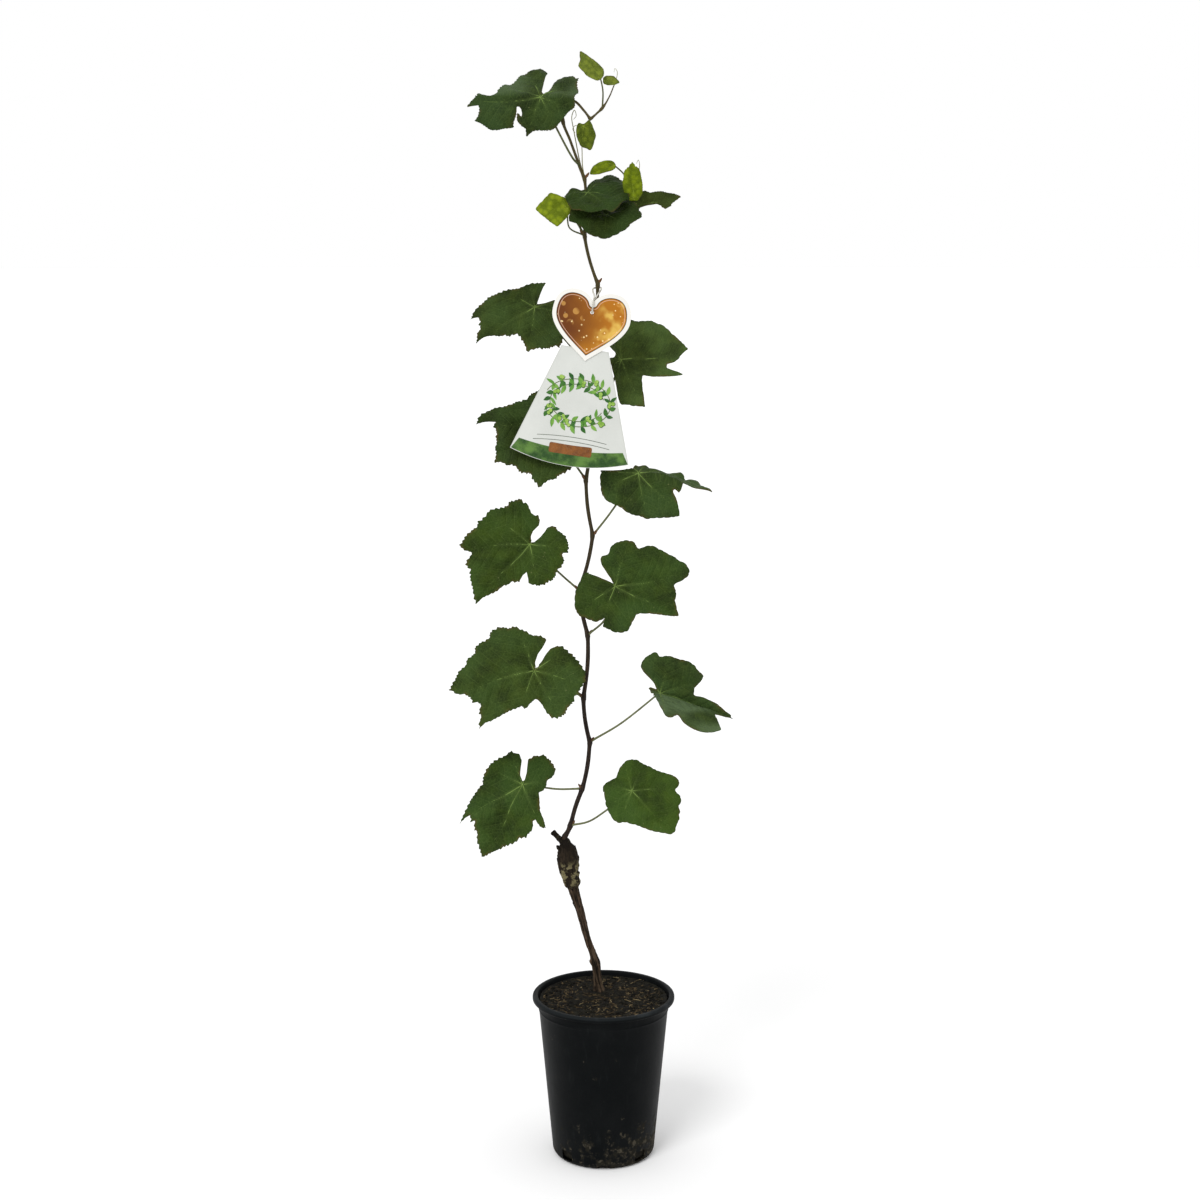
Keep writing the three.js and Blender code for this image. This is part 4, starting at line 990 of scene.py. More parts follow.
def add_leaves():
    """A blade with a finish of its own for each leaf."""
    for seed, leaf in enumerate([*LEAVES, *YOUNG]):
        young = leaf in YOUNG
        full = max(reach for _, reach in leaf["lobes"])
        vein = (144, 160, 58) if young else (122, 146, 76)
        finish = leaf_finish(leaf, vein, max(0.45, full / 90), seed)
        mesh = blade_mesh(leaf, 0.85 if young else 1.55, 100 + seed)
        add_piece(mesh, leaf["name"] + "_blade", finish,
                  [leaf["name"]])


# ---- stalks, tendrils and string: round runs along paths -------------------------------------


def run_tree():
    """Round runs with fine lengthwise ribs along the source's lines."""
    tree = Growth("round_runs", {"Sides": "Int", "Ribbing": "Float", "Rib Size": "Float",
                                 "Finish": "Material"})
    line = tree.node("GeometryNodeMeshToCurve", {}, {"Mesh": tree.given("Source")})
    thick = tree.node("GeometryNodeInputNamedAttribute", {"data_type": "FLOAT"},
                      {"Name": "reach"})
    skin = tree.skinned(line, {"Resolution": tree.given("Sides"), "Radius": 1.0}, {"Scale": thick})
    lump = tree.noise(tree.node("GeometryNodeInputPosition"), tree.given("Rib Size"), 2) - 0.5
    normal = tree.node("GeometryNodeInputNormal")
    return tree.done(tree.shifted(skin, normal, lump * tree.given("Ribbing")))


def lines_mesh(lines):
    """Paths, each with the radius of every point, as edges that a geometry tree can follow."""
    mesh = bpy.data.meshes.new("lines")
    points = np.concatenate([path for path, _ in lines]) / 1000
    edges, count = [], 0
    for path, _ in lines:
        edges += [(count + k, count + k + 1) for k in range(len(path) - 1)]
        count += len(path)
    mesh.from_pydata(points.tolist(), edges, [])
    reach = mesh.attributes.new("reach", "FLOAT", "POINT")
    reach.data.foreach_set("value", np.concatenate([radii for _, radii in lines]) / 1000)
    return mesh


def stalk_line(leaf):
    """From inside the shoot, by its point on the way, up to the back of the blade."""
    axes = blade_axes(leaf)
    at = np.array(leaf["at"], float)
    rest = STALK_THICK[1] / 2
    behind = at - axes[:, 2] * (BLADE / 2 + 1.5 * GAP + rest)
    touch = at - axes[:, 2] * (0.75 * rest) + axes[:, 0] * 0.6
    young = leaf in YOUNG
    path = soft_path([leaf["root"], leaf["via"], behind, touch], 42)
    share = np.linspace(0, 1, len(path))
    radii = (0.72 if young else 1.0) * (STALK_THICK[0] * (1 - share) + STALK_THICK[1] * share) / 2
    radii *= 1 + 0.45 * np.exp(-((share / 0.05) ** 2)) + 0.2 * np.exp(-(((1 - share) / 0.05) ** 2))
    return path, radii


def green_wood_finish(name, low, high, low_tone, high_tone, streak):
    """Young bark: its colour changes with height, with fine lengthwise streaks and pores."""
    finish = Finish(name, {"Specular IOR Level": 0.12})
    place = finish.place()
    _, _, height = finish.split(place)
    grain = finish.noise(finish.stretch(place, (1, 1, 0.12)), 900, 3, 0.6)
    patch = finish.noise(place, 70, 3)
    pore = finish.between(finish.cells(place, 700), 0.22, 0.1)
    colour = finish.coats(
        finish.mix(finish.between(height, low, high), low_tone, high_tone),
        (finish.between(grain, 0.42, 0.7) * 0.6, streak),
        (finish.between(patch, 0.5, 0.7) * 0.35, (44, 34, 24)),
        (pore * 0.4, (120, 104, 74)),
    )
    normal = finish.bump(grain + pore * 0.4, 0.0004, 0.6)
    return finish.done(colour, 0.45 + grain * 0.25, normal)


def add_stalks(tree):
    """The stalks of all leaves that have one, as one piece."""
    finish = green_wood_finish("stalk_skin", 0.45, 1.25, (96, 100, 70), (66, 72, 38),
                               (104, 108, 74))
    leaves = [leaf for leaf in [*LEAVES, *YOUNG] if "root" in leaf]
    mesh = grow(tree, lines_mesh([stalk_line(leaf) for leaf in leaves]),
                {"Sides": 14, "Ribbing": 0.00035, "Rib Size": 700.0, "Finish": finish})
    add_piece(mesh, "leaf_stalks", finish,
              [leaf["name"].replace("leaf", "stalk") for leaf in leaves])


TENDRILS = [  # corners of each tendril, and its thickness where it leaves the shoot
    ([(-21.5, 20, 1158), (-27, 22, 1176), (-31, 24, 1196), (-34, 23, 1212), (-36, 21, 1226),
      (-33, 19, 1233), (-31, 20, 1227), (-34, 22, 1223)], 1.5),
    ([(-21.5, 20, 1158), (-24, 16, 1172), (-24.5, 13, 1190), (-26, 12, 1206), (-31, 13, 1216),
      (-35, 15, 1212), (-32, 17, 1208)], 1.2),
    ([(30, 17, 1137), (36, 16, 1146), (38, 15, 1160), (40.5, 15, 1172), (39, 16, 1178),
      (37, 17, 1174)], 1.1),
    ([(12, 14, 1261), (14.5, 13, 1268), (15, 12, 1275), (12.5, 12, 1278), (11.5, 13, 1274)], 0.9),
]


def add_tendrils(tree):
    """Tapering tendrils that curl at their ends."""
    finish = green_wood_finish("tendril_skin", 1.1, 1.3, (98, 88, 48), (120, 124, 60),
                               (140, 138, 84))
    lines = []
    for corners, thick in TENDRILS:
        path = soft_path(corners, 60)
        lines.append((path, np.linspace(thick, 0.35 * thick, len(path)) / 2))
    mesh = grow(tree, lines_mesh(lines),
                {"Sides": 8, "Ribbing": 0.0001, "Rib Size": 900.0, "Finish": finish})
    add_piece(mesh, "tendrils", finish)


# ---- shoot ---------------------------------------------------------------------------------


def kinked_path(joints, steps):
    """Points along the shoot, slightly bowed between its joints."""
    path = []
    for i, (start, end) in enumerate(zip(joints, joints[1:])):
        start, end = np.array(start, float), np.array(end, float)
        bow = (-1 if i % 2 else 1) * BOW * np.linalg.norm(end - start)
        for k in range(steps):
            share = k / steps
            path.append(start + (end - start) * share + (bow * math.sin(math.pi * share), 0, 0))
    return np.array(path + [joints[-1]], float)


def shoot_relief(joints, path, dice):
    """Swollen joints with a ring scar, and fine ribs between them."""
    length = run_length(path)
    at = [length[np.linalg.norm(path - joint, axis=1).argmin()] for joint in joints]
    phase = dice.uniform(0, 6, 8)

    def relief(turn, run):
        height = 0.09 * np.sin(7 * turn + phase[0] + run / 60) + 0.05 * np.sin(13 * turn + phase[1])
        height += 0.06 * np.sin(run / 7 + 2 * np.sin(turn + phase[2]))
        for k, place in enumerate(at):
            away = run - place
            swell = np.exp(-((away / 4.5) ** 2)) * (0.75 + 0.35 * np.cos(turn + phase[k % 8]))
            height += swell + 0.22 * np.exp(-(((away + 2) / 0.8) ** 2))
        return height

    return relief


def add_shoot():
    """The kinked shoot with its nodding end, and the side growth."""
    dice = np.random.default_rng(7)
    finish = green_wood_finish("shoot_bark", 0.45, 1.22, (21, 14, 14), (72, 66, 36),
                               (64, 50, 36))
    base = kinked_path(SHOOT, 44)
    nod = soft_path(NOD, 90)[1:]
    tip = soft_path(TIP_SHOOT, 60)[1:]
    base[0] -= (0.6, 0, 5)
    path = np.concatenate([base, nod, tip])
    radii = np.concatenate([
        np.linspace(SHOOT_THICK[0], SHOOT_THICK[1], len(base)), np.linspace(3.2, 2.5, len(nod)),
        np.linspace(2.4, 1.2, len(tip)),
    ]) / 2
    joints = [*SHOOT[:-1], NOD[2], NOD[6], TIP_SHOOT[2]]
    main = limb(path, radii, 22, shoot_relief([np.array(j, float) for j in joints], path, dice))
    side_path = soft_path(SIDE_SHOOT, 90)
    side_joints = [np.array(SIDE_SHOOT[k], float) for k in (1, 3)]
    side = limb(side_path, np.linspace(1.5, 0.9, len(side_path)), 14,
                shoot_relief(side_joints, side_path, dice))
    add_piece(triangle_mesh(*join([main, side])), "shoot", finish,
              ["shoot_lower", "shoot_middle", "shoot_upper", "shoot_neck", "shoot_nod",
               "shoot_tip", "side_shoot"])


def add_buds():
    """A scaly winter bud in the angle above each stalk."""
    finish = green_wood_finish("bud_scales", 0.4, 1.2, (58, 38, 26), (98, 66, 38),
                               (126, 92, 60))
    parts = []
    for k, joint in enumerate(SHOOT[1:-1]):
        way = unit(np.array([-0.9 if k % 2 else 0.9, -0.35, 0.9]))
        start = np.array(joint, float) + way * 1.2
        share = np.linspace(0, 1, 14)
        path = start + np.outer(share * 6.2, way) + np.outer(share ** 2 * 1.4, (0, 0, 1))
        radii = 1.9 * np.sqrt(np.clip(np.sin(math.pi * (0.12 + 0.86 * share)), 0.01, 1))
        radii *= 1 + 0.08 * np.sin(share * 20)
        parts.append(limb(path, radii * (1 - 0.35 * share), 14))
    add_piece(triangle_mesh(*join(parts)), "buds", finish)


# ---- scattered bits ------------------------------------------------------------------------


def scatter_tree(name, shape, upright=False):
    """Small rough bits laid on the source's faces: boxes or crumbs, each of its own shape."""
    tree = Growth(name, {"Density": "Float", "Size": "Vector", "Smallest": "Float",
                         "Largest": "Float", "Roughness": "Float", "Rough Size": "Float",
                         "Seed": "Int", "Finish": "Material"})
    points, turn = tree.strewn()
    if upright:
        turn = tree.node("FunctionNodeAlignRotationToVector", {"axis": "Y", "pivot_axis": "Z"},
                         {"Rotation": turn, "Vector": (-0.2, 0, 1)})
        turn = tree.twisted(turn, (0.03, -0.15, -0.2), (0.22, 0.15, 0.2), 2)
    else:
        turn = tree.twisted(turn, (-0.35, -0.35, -math.pi), (0.35, 0.35, math.pi), 2)
    if shape == "box":
        bit = tree.node("GeometryNodeMeshCube", {}, {"Size": tree.given("Size"), "Vertices X": 3,
                                                     "Vertices Y": 5, "Vertices Z": 2})
    else:
        ball_shape = tree.node("GeometryNodeMeshIcoSphere", {}, {"Radius": 0.5, "Subdivisions": 2})
        bit = tree.node("GeometryNodeTransform", {},
                        {"Geometry": ball_shape, "Scale": tree.given("Size")})
    scale = tree.random(tree.given("Smallest"), tree.given("Largest"), 5)
    solid = tree.laid(points, bit, turn, scale)
    return tree.done(tree.wandering(solid, tree.given("Rough Size"), 2, tree.given("Roughness")))


def fibre_tree():
    """Thin curled fibres laid on the source's faces."""
    tree = Growth("peat_fibres", {"Density": "Float", "Length": "Float", "Thickness": "Float",
                                  "Curl": "Float", "Seed": "Int", "Finish": "Material"})
    points, turn = tree.strewn()
    turn = tree.twisted(turn, (-0.25, -0.25, -math.pi), (0.25, 0.25, math.pi), 3)
    step = tree.node("ShaderNodeCombineXYZ", {}, {"X": tree.given("Length") / 10})
    line = tree.node("GeometryNodeMeshLine", {}, {"Count": 11, "Offset": step})
    thread = tree.node("GeometryNodeMeshToCurve", {}, {"Mesh": line})
    solid = tree.laid(points, thread, turn, tree.random(0.4, 1.2, 6))
    curled = tree.wandering(solid, 130.0, 1, tree.given("Curl"), 0.42, 0.35)
    return tree.done(tree.skinned(curled, {"Resolution": 5, "Radius": tree.given("Thickness")}, {}))


def bits_finish(name, dark, light, size):
    """Rough dry bits whose colour wanders from piece to piece."""
    finish = Finish(name, {"Specular IOR Level": 0.12})
    place = finish.place()
    patch = finish.noise(place, 170, 2)
    grain = finish.noise(place, size, 3, 0.6)
    colour = finish.mix(finish.between(patch, 0.36, 0.64), dark, light)
    colour = finish.mix(finish.between(grain, 0.45, 0.75) * 0.5, colour, (16, 12, 8))
    return finish.done(colour, 0.8 + grain * 0.2, finish.bump(grain, 0.0006, 0.8))


# ---- old wood ------------------------------------------------------------------------------


def wall_radius(height):
    """Outside of the pot's wall at a height."""
    share = (height - POT["edge_radius"]) / (POT["height"] - POT["rim_height"] - POT["edge_radius"])
    return POT["wall_foot_radius"] + (POT["shoulder_radius"] - POT["wall_foot_radius"]) * share


SOIL_LEVEL = POT["height"] - SOIL["below_rim"]
SOIL_EDGE = wall_radius(SOIL_LEVEL) - POT["wall"] - GAP
HEAP = 3.4  # loose soil above the part's even surface, along the wall


def soil_top(reach):
    """Height of the soil's even surface at a distance from the pot's middle."""
    knee = 0.6 * SOIL_EDGE
    outer = SOIL_LEVEL + 0.7 * SOIL["crown"] * (SOIL_EDGE - reach) / (SOIL_EDGE - knee)
    return np.where(reach > knee, outer, SOIL_LEVEL + SOIL["crown"] * (1 - 0.3 * reach / knee))


def heaped(reach):
    """Height of the loose soil, which is heaped up a little along the wall."""
    return soil_top(reach) + HEAP * np.clip((reach - 55) / (SOIL_EDGE - 55), 0, 1) ** 1.5


FOOT = float(soil_top(math.hypot(*TRUNK[0][:2]) - TRUNK[0][3] / 2)) + GAP


def ball(at, radius, long, way):
    """A lump of wood, stretched along a direction."""
    share = np.linspace(-1, 1, 11)
    path = np.array(at) + np.outer(share * radius * long, unit(np.array(way, float)))
    return limb(path, radius * np.sqrt(np.clip(1 - share ** 2, 0.03, 1)), 14)


KNOBS = [  # x, y and height above the soil, then radius, stretch and direction
    ((-13.5, 23, 37), 3.2, 1.5, (-0.3, 0, 1)), ((-6, 21, 33), 2.4, 1.6, (0.2, 0, 1)),
    ((-52, 17, 180), 3.0, 1.8, (-0.6, -0.2, 0.8)), ((-31, 18, 150), 2.6, 1.5, (0.7, -0.3, 0.6)),
]


def wood_lumps(dice):
    """Burrs of the graft head, the swollen old bud and the snag beside the cut."""
    stations = np.array(TRUNK, float)
    lumps = []
    for _ in range(26):
        up = dice.uniform(136, 184)
        x, y, thick = (np.interp(up, stations[:, 2], stations[:, k]) for k in (0, 1, 3))
        turn = dice.uniform(0, 2 * math.pi)
        reach = 0.4 * thick
        at = (x + reach * math.cos(turn), y + reach * math.sin(turn), FOOT + up)
        lumps.append(ball(at, dice.uniform(2.0, 4.4), dice.uniform(0.9, 1.6),
                          dice.normal(size=3) + (0, 0, 1)))
    for (x, y, up), *form in KNOBS:
        lumps.append(ball((x, y, FOOT + up), *form))
    return lumps


def bark_relief(points, dice):
    """Height of the bark: long furrows below, coarse burrs round the graft."""
    lean = np.array([-0.23, 0, 0.97])
    squeezed = points - np.outer(points @ lean, lean) * 0.86
    furrow = 1 - np.abs(waves(squeezed, 2.6, dice, 14))
    fine = 1 - np.abs(waves(squeezed, 1.3, dice, 14))
    burr = waves(points, 5, dice, 12)
    head = np.clip((points[:, 2] - FOOT - 126) / 16, 0, 1)
    head *= np.clip((FOOT + 200 - points[:, 2]) / 12, 0.2, 1)
    return 0.34 * furrow + 0.2 * fine + head * (0.6 * burr + 0.2 * furrow) - 0.3


def bark_finish():
    """Dark weathered bark, reddish-grey streaks on the neck, tan callus on the graft."""
    finish = Finish("vine_bark", {"Specular IOR Level": 0.08})
    place = finish.place()
    _, _, height = finish.split(place)
    upright = finish.stretch(place, (1, 1, 1), (0, 0.25, 0))
    grain = finish.noise(finish.stretch(upright, (1, 1, 0.07)), 480, 4, 0.65)
    broad = finish.noise(finish.stretch(upright, (1, 1, 0.16)), 150, 2)
    patch = finish.noise(place, 115, 3, 0.6, 0.5)
    speck = finish.noise(place, 600, 3)
    head = finish.between(height, 0.322, 0.332)
    low = finish.between(height, 0.232, 0.2) * finish.between(grain, 0.42, 0.6)
    callus = head * finish.between(height, 0.362, 0.348) * finish.between(patch, 0.47, 0.56)
    colour = finish.coats(
        finish.mix(finish.between(grain, 0.4, 0.62), (17, 13, 9), (60, 48, 36)),
        (finish.between(broad, 0.5, 0.68) * 0.55, (88, 73, 58)),
        (finish.between(grain, 0.56, 0.68) * (1 - head) * 0.5, (106, 82, 72)),
        (low * 0.4, (92, 78, 62)),
        (head * 0.75, (24, 20, 14)),
        (callus * 0.85, (118, 110, 80)),
        (head * finish.between(patch, 0.58, 0.66) * 0.5, (84, 82, 54)),
        (finish.between(speck, 0.56, 0.72) * 0.55, (14, 10, 7)),
        (finish.between(height, 0.368, 0.38) * 0.7, (15, 12, 9)),
    )
    normal = finish.bump(grain * 0.7 + speck * 0.5, 0.001, 1.0)
    return finish.done(colour, 0.68 + speck * 0.25, normal)


def add_trunk():
    """Old wood fused from limbs and lumps, with its bark relief and loose flakes."""
    dice = np.random.default_rng(21)
    stations = np.array([(x, y, FOOT + up, thick) for x, y, up, thick in TRUNK], float)
    path = soft_path(stations[:, :3], 150)
    at = np.linspace(0, 1, len(path)) * (len(stations) - 1)
    radii = np.interp(at, np.arange(len(stations)), stations[:, 3]) / 1.9
    path = np.concatenate([path[:1] - (0, 0, 7), path])
    radii = np.concatenate([radii[:1] * 1.15, radii])
    stub = np.array([(x, y, FOOT + up) for x, y, up, _ in STUB], float)
    stub_path = soft_path(stub, 24)
    stub_radii = np.interp(np.linspace(0, 2, 25), (0, 1, 2), [s[3] / 2 for s in STUB])
    parts = [limb(path, radii, 40), limb(stub_path, stub_radii, 24), *wood_lumps(dice)]
    rough = placed("old_wood", triangle_mesh(*join(parts)))
    fuse = rough.modifiers.new("fuse", "REMESH")
    fuse.mode, fuse.voxel_size = "VOXEL", 0.00075
    soften = rough.modifiers.new("soften", "SMOOTH")
    soften.factor, soften.iterations = 0.5, 4
    mesh = settled(rough)
    places = np.zeros(3 * len(mesh.vertices))
    normals = np.zeros(3 * len(mesh.vertices))
    mesh.vertices.foreach_get("co", places)
    mesh.vertex_normals.foreach_get("vector", normals)
    places, normals = 1000 * places.reshape(-1, 3), normals.reshape(-1, 3)
    places += normals * bark_relief(places, dice)[:, None]
    mesh.vertices.foreach_set("co", places.ravel() / 1000)
    mesh.update()
    finish = bark_finish()
    add_piece(mesh, "trunk_bark", finish, ["trunk"], sharp=80)
    tree = scatter_tree("bark_flakes", "box", upright=True)
    flakes = grow(tree, mesh, {
        "Density": 20000.0, "Size": (0.0012, 0.0064, 0.00022), "Smallest": 0.35, "Largest": 1.1,
        "Roughness": 0.0006, "Rough Size": 260.0, "Seed": 4, "Finish": finish})
    add_piece(flakes, "bark_flakes", finish)


# ---- pot and soil --------------------------------------------------------------------------


def lathe(profile, sides):
    """A closed turned body from a profile that starts and ends on the axis."""
    profile = np.array(profile, float)
    turn = 2 * math.pi * np.arange(sides) / sides
    rings = profile[1:-1]
    skin = np.stack([rings[:, :1] * np.cos(turn), rings[:, :1] * np.sin(turn),
                     np.repeat(rings[:, 1:], sides, axis=1)], axis=2).reshape(-1, 3)
    points = np.concatenate([skin, [(0, 0, profile[0, 1]), (0, 0, profile[-1, 1])]])
    return points, skin_faces(len(rings), sides)


def arc(x, y, radius, start, end):
    """Points on an arc round (x, y), from one angle in degrees to another."""
    turns = np.radians(np.linspace(start, end, 7))
    return [(x + radius * math.cos(t), y + radius * math.sin(t)) for t in turns]


def pot_profile():
    """The pot's section: up the outside, over the rim and down the inside."""
    height, rim, under = POT["height"], POT["rim_radius"], POT["height"] - POT["rim_height"]
    foot, edge, wall = POT["wall_foot_radius"], POT["edge_radius"], POT["wall"]
    corner = foot - edge
    bead = under - 17 + POT["rim_height"]
    outer = [(wall_radius(z), z) for z in np.linspace(edge + 1, bead - 4, 26)]
    ridge = [(wall_radius(bead) + lift, bead + up) for up, lift in
             ((-2, 0), (-1.2, 0.15), (-0.5, 0.5), (0, 0.62), (0.5, 0.5), (1.2, 0.12), (2, 0))]
    collar = [(wall_radius(under) - 0.4, under - 5), (wall_radius(under) - 0.1, under - 1.6),
              (wall_radius(under) + 1.2, under - 0.35)]
    lip = [*arc(rim - 1.6, under + 1.6, 1.6, -90, 0), *arc(rim - 2.4, height - 2.4, 2.4, 0, 90),
           *arc(wall_radius(under) + 2.2, height - 2, 2, 90, 172)]
    inner = [(wall_radius(z) - 0.6 * wall, z) for z in np.linspace(height - 6, edge + 1, 20)]
    return [(0, 0.8), (20, 0.8), (22, 0), (corner, 0), *arc(corner, edge, edge, -84, 0), *outer,
            *ridge, *collar, *lip, *inner, (foot - 0.6 * wall, edge), (corner, POT["floor"]),
            (0, POT["floor"])]


def drain_cutters():
    """Rounded blocks that cut the notches in the foot and the windows between them."""
    parts = []
    reach, top, bottom = 2 * POT["edge_radius"], DRAIN["window_top"], DRAIN["window_bottom"]
    notch = (reach, DRAIN["notch_width"], 2 * DRAIN["notch_height"])
    window = (reach, DRAIN["window_width"], top - bottom)
    kinds = [(0, notch, 0), (math.pi / DRAIN["count"], window, (top + bottom) / 2)]
    for i in range(DRAIN["count"]):
        for extra, size, up in kinds:
            block = bmesh.new()
            bmesh.ops.create_cube(block, size=1)
            bmesh.ops.scale(block, vec=size, verts=block.verts)
            long = [e for e in block.edges
                    if abs((e.verts[0].co - e.verts[1].co).normalized().x) > 0.9]
            bmesh.ops.bevel(block, geom=long, offset=1.8, segments=5, profile=0.5,
                            affect="EDGES")
            turn = Matrix.Rotation(2 * math.pi * i / DRAIN["count"] + extra, 4, "Z")
            bmesh.ops.transform(block, verts=block.verts,
                                matrix=turn @ Matrix.Translation((POT["wall_foot_radius"], 0, up)))
            bmesh.ops.triangulate(block, faces=block.faces)
            block.verts.index_update()
            parts.append((np.array([tuple(v.co) for v in block.verts]),
                          np.array([[v.index for v in f.verts] for f in block.faces])))
            block.free()
    return join(parts)


def pot_finish():
    """Near-black moulded plastic: painted rim highlight, dried mud at the foot, faint dust and
    scratches.
    """
    finish = Finish("pot_plastic", {"Specular IOR Level": 0.055})
    place = finish.place()
    x, y, height = finish.split(place)
    reach = (x * x + y * y) ** 0.5
    scuff = finish.noise(finish.stretch(place, (1, 1, 0.2)), 190, 4, 0.6)
    cloud = finish.noise(place, 24, 4, 0.6)
    grain = finish.noise(place, 900, 3)
    # The rim's top outer edge, which takes a painted bluish-grey highlight.
    rim = finish.between(height, 0.1945, 0.1965) * finish.between(reach, 0.0805, 0.0825)
    low = finish.between(height, 0.085, 0.005)
    mud = finish.noise(place, 80, 5, 0.7) + low * 0.19 + x * 1.6 * low
    mud = finish.between(mud, 0.64, 0.76)
    crust = mud * finish.between(finish.noise(place, 210, 3), 0.5, 0.62)
    foot = finish.between(height, 0.006, 0.001) * finish.between(grain, 0.45, 0.6)
    colour = finish.coats(
        finish.mix(finish.between(cloud, 0.35, 0.7), (4, 6, 7), (9, 11, 12)),
        (finish.between(scuff, 0.55, 0.75) * 0.25, (28, 31, 31)),
        (finish.between(grain, 0.6, 0.8) * 0.25, (34, 36, 34)),
        # painted highlight along the rim's top outer edge
        (rim * (0.35 + finish.between(cloud, 0.5, 0.62) * 0.5), (36, 40, 42)),
        (mud * 0.55, (40, 37, 29)),
        (crust * 0.6, (76, 71, 60)),
        (foot * 0.35, (56, 52, 42)),
    )
    normal = finish.bump(grain * 0.35 + scuff * 0.3 + crust * 0.8, 0.0004, 0.6)
    return finish.done(colour, 0.4 + scuff * 0.16 + mud * 0.35 + rim * 0.1, normal)


def add_pot():
    """The turned pot, with its drain notches and windows cut out."""
    body = placed("pot_body", triangle_mesh(*lathe(pot_profile(), 160)))
    cutter = placed("drain", triangle_mesh(*drain_cutters()))
    cut = body.modifiers.new("drain", "BOOLEAN")
    cut.object, cut.operation, cut.solver = cutter, "DIFFERENCE", "EXACT"
    mesh = settled(body)
    bpy.data.objects.remove(cutter)
    add_piece(mesh, "nursery_pot", pot_finish(), ["pot"], sharp=38)


def add_soil():
    """A lumpy body of peat, strewn with crumbs, chips and fibres."""
    edge = SOIL_EDGE + 0.5
    reach = np.concatenate([np.linspace(edge, 2, 84), [0]])
    top = [(r, float(heaped(r))) for r in reach]
    corner = POT["wall_foot_radius"] - POT["edge_radius"] - GAP
    low = [(0, POT["floor"] + GAP), (corner, POT["floor"] + GAP),
           (POT["wall_foot_radius"] - POT["wall"] - GAP, POT["edge_radius"] + GAP)]
    points, faces = lathe([*low, *top], 220)
    up = points[:, 2] > SOIL_LEVEL - 1
    for k in np.nonzero(up)[0]:
        spot = Vector(points[k])
        lump = noise.fractal(spot / 13, 0.9, 2.1, 3) * 1.5
        crumb = 1 - abs(noise.noise(spot / 2.6)) * 2
        fine = noise.noise(spot / 1.3)
        calm = min(1.0, (edge - math.hypot(spot.x, spot.y)) / 3 + 0.35)
        points[k, 2] += (lump + 0.75 * crumb + 0.4 * fine - 0.5) * calm
    soil = bits_finish("peat", (10, 9, 6), (26, 24, 16), 800)
    add_piece(triangle_mesh(points, faces), "soil_body", soil, ["soil"],
              sharp=180)

    # Discs just under the surface, on which bits are strewn: one nearly reaches the wall.
    grounds = []
    for wide in (73, 63):
        disc, triangles = lathe([(0, SOIL_LEVEL - 4), (wide, SOIL_LEVEL - 4),
                                 *[(r, float(heaped(r)) - 0.4)
                                   for r in np.linspace(wide, 0, 30)]], 48)
        middles = disc[triangles].mean(axis=1)
        grounds.append(triangle_mesh(disc, triangles[middles[:, 2] > SOIL_LEVEL - 0.5]))
    ground, inner_ground = grounds
    crumbs = scatter_tree("crumbs", "crumb")
    chips = scatter_tree("chips", "box")
    fibres = fibre_tree()
    dark = bits_finish("dark_peat", (8, 7, 5), (25, 23, 15), 900)
    brown = bits_finish("brown_peat", (21, 19, 12), (44, 39, 26), 900)
    bark = bits_finish("bark_bits", (36, 29, 19), (88, 74, 52), 1200)
    pale = bits_finish("pale_bits", (84, 72, 50), (140, 124, 92), 1500)
    kinds = [
        ("dark_crumbs", crumbs, dark, 60000.0, (0.0046, 0.004, 0.0034), 0.35, 1.2, 0.0024, 3),
        ("brown_crumbs", crumbs, brown, 22000.0, (0.0034, 0.0026, 0.0022), 0.3, 1.1, 0.002, 8),
        ("bark_chips", chips, bark, 19000.0, (0.0017, 0.0095, 0.0008), 0.3, 1.2, 0.003, 11),
        ("pale_chips", chips, pale, 2200.0, (0.0012, 0.013, 0.0008), 0.3, 1.2, 0.003, 14),
    ]
    for name, tree, finish, density, size, small, large, rough, seed in kinds:
        mesh = grow(tree, ground, {
            "Density": density, "Size": size, "Smallest": small, "Largest": large,
            "Roughness": rough, "Rough Size": 330.0, "Seed": seed, "Finish": finish})
        add_piece(mesh, name, finish, sharp=60)
    for name, finish, density, seed in (("straw_fibres", pale, 3800.0, 2),
                                        ("root_fibres", bark, 9000.0, 9)):
        mesh = grow(fibres, inner_ground, {
            "Density": density, "Length": 0.017, "Thickness": 0.0004, "Curl": 0.014,
            "Seed": seed, "Finish": finish})
        add_piece(mesh, name, finish)


# ---- label ---------------------------------------------------------------------------------


def label_place(flat, at, depth):
    """Flat label points (across, up) in space; the label bows back at its sides."""
    lean = math.radians(-TAG["lean"])
    x, up = flat.T
    bow = 0.0011 * x ** 2
    return np.stack([at[0] + x * math.cos(lean) + up * math.sin(lean), depth + bow,
                     at[1] - x * math.sin(lean) + up * math.cos(lean)], axis=1)


def label_layer(rim, at, depth, thick, spacing, holes=()):
    """A thin body of a flat outline on the label, with maps of its places."""
    flat, triangles = fill(rim, spacing, (), holes)
    body, faces, base, _ = thicken(label_place(flat, at, depth), triangles, thick / 2, thick / 2)
    edge = gap_to(flat, np.concatenate([rim, np.roll(rim, -1, axis=0)]))
    corner = base.ravel()
    maps = {"print": flat[corner] / 1000,
            "edge": np.stack([edge[corner] / 1000, np.zeros(len(corner))], axis=1)}
    return body, faces, maps


def layered_mesh(layers):
    """One mesh of several label layers, with their maps."""
    maps = {key: np.concatenate([maps[key] for _, _, maps in layers]) for key in layers[0][2]}
    return triangle_mesh(*join([(body, faces) for body, faces, _ in layers]), maps)


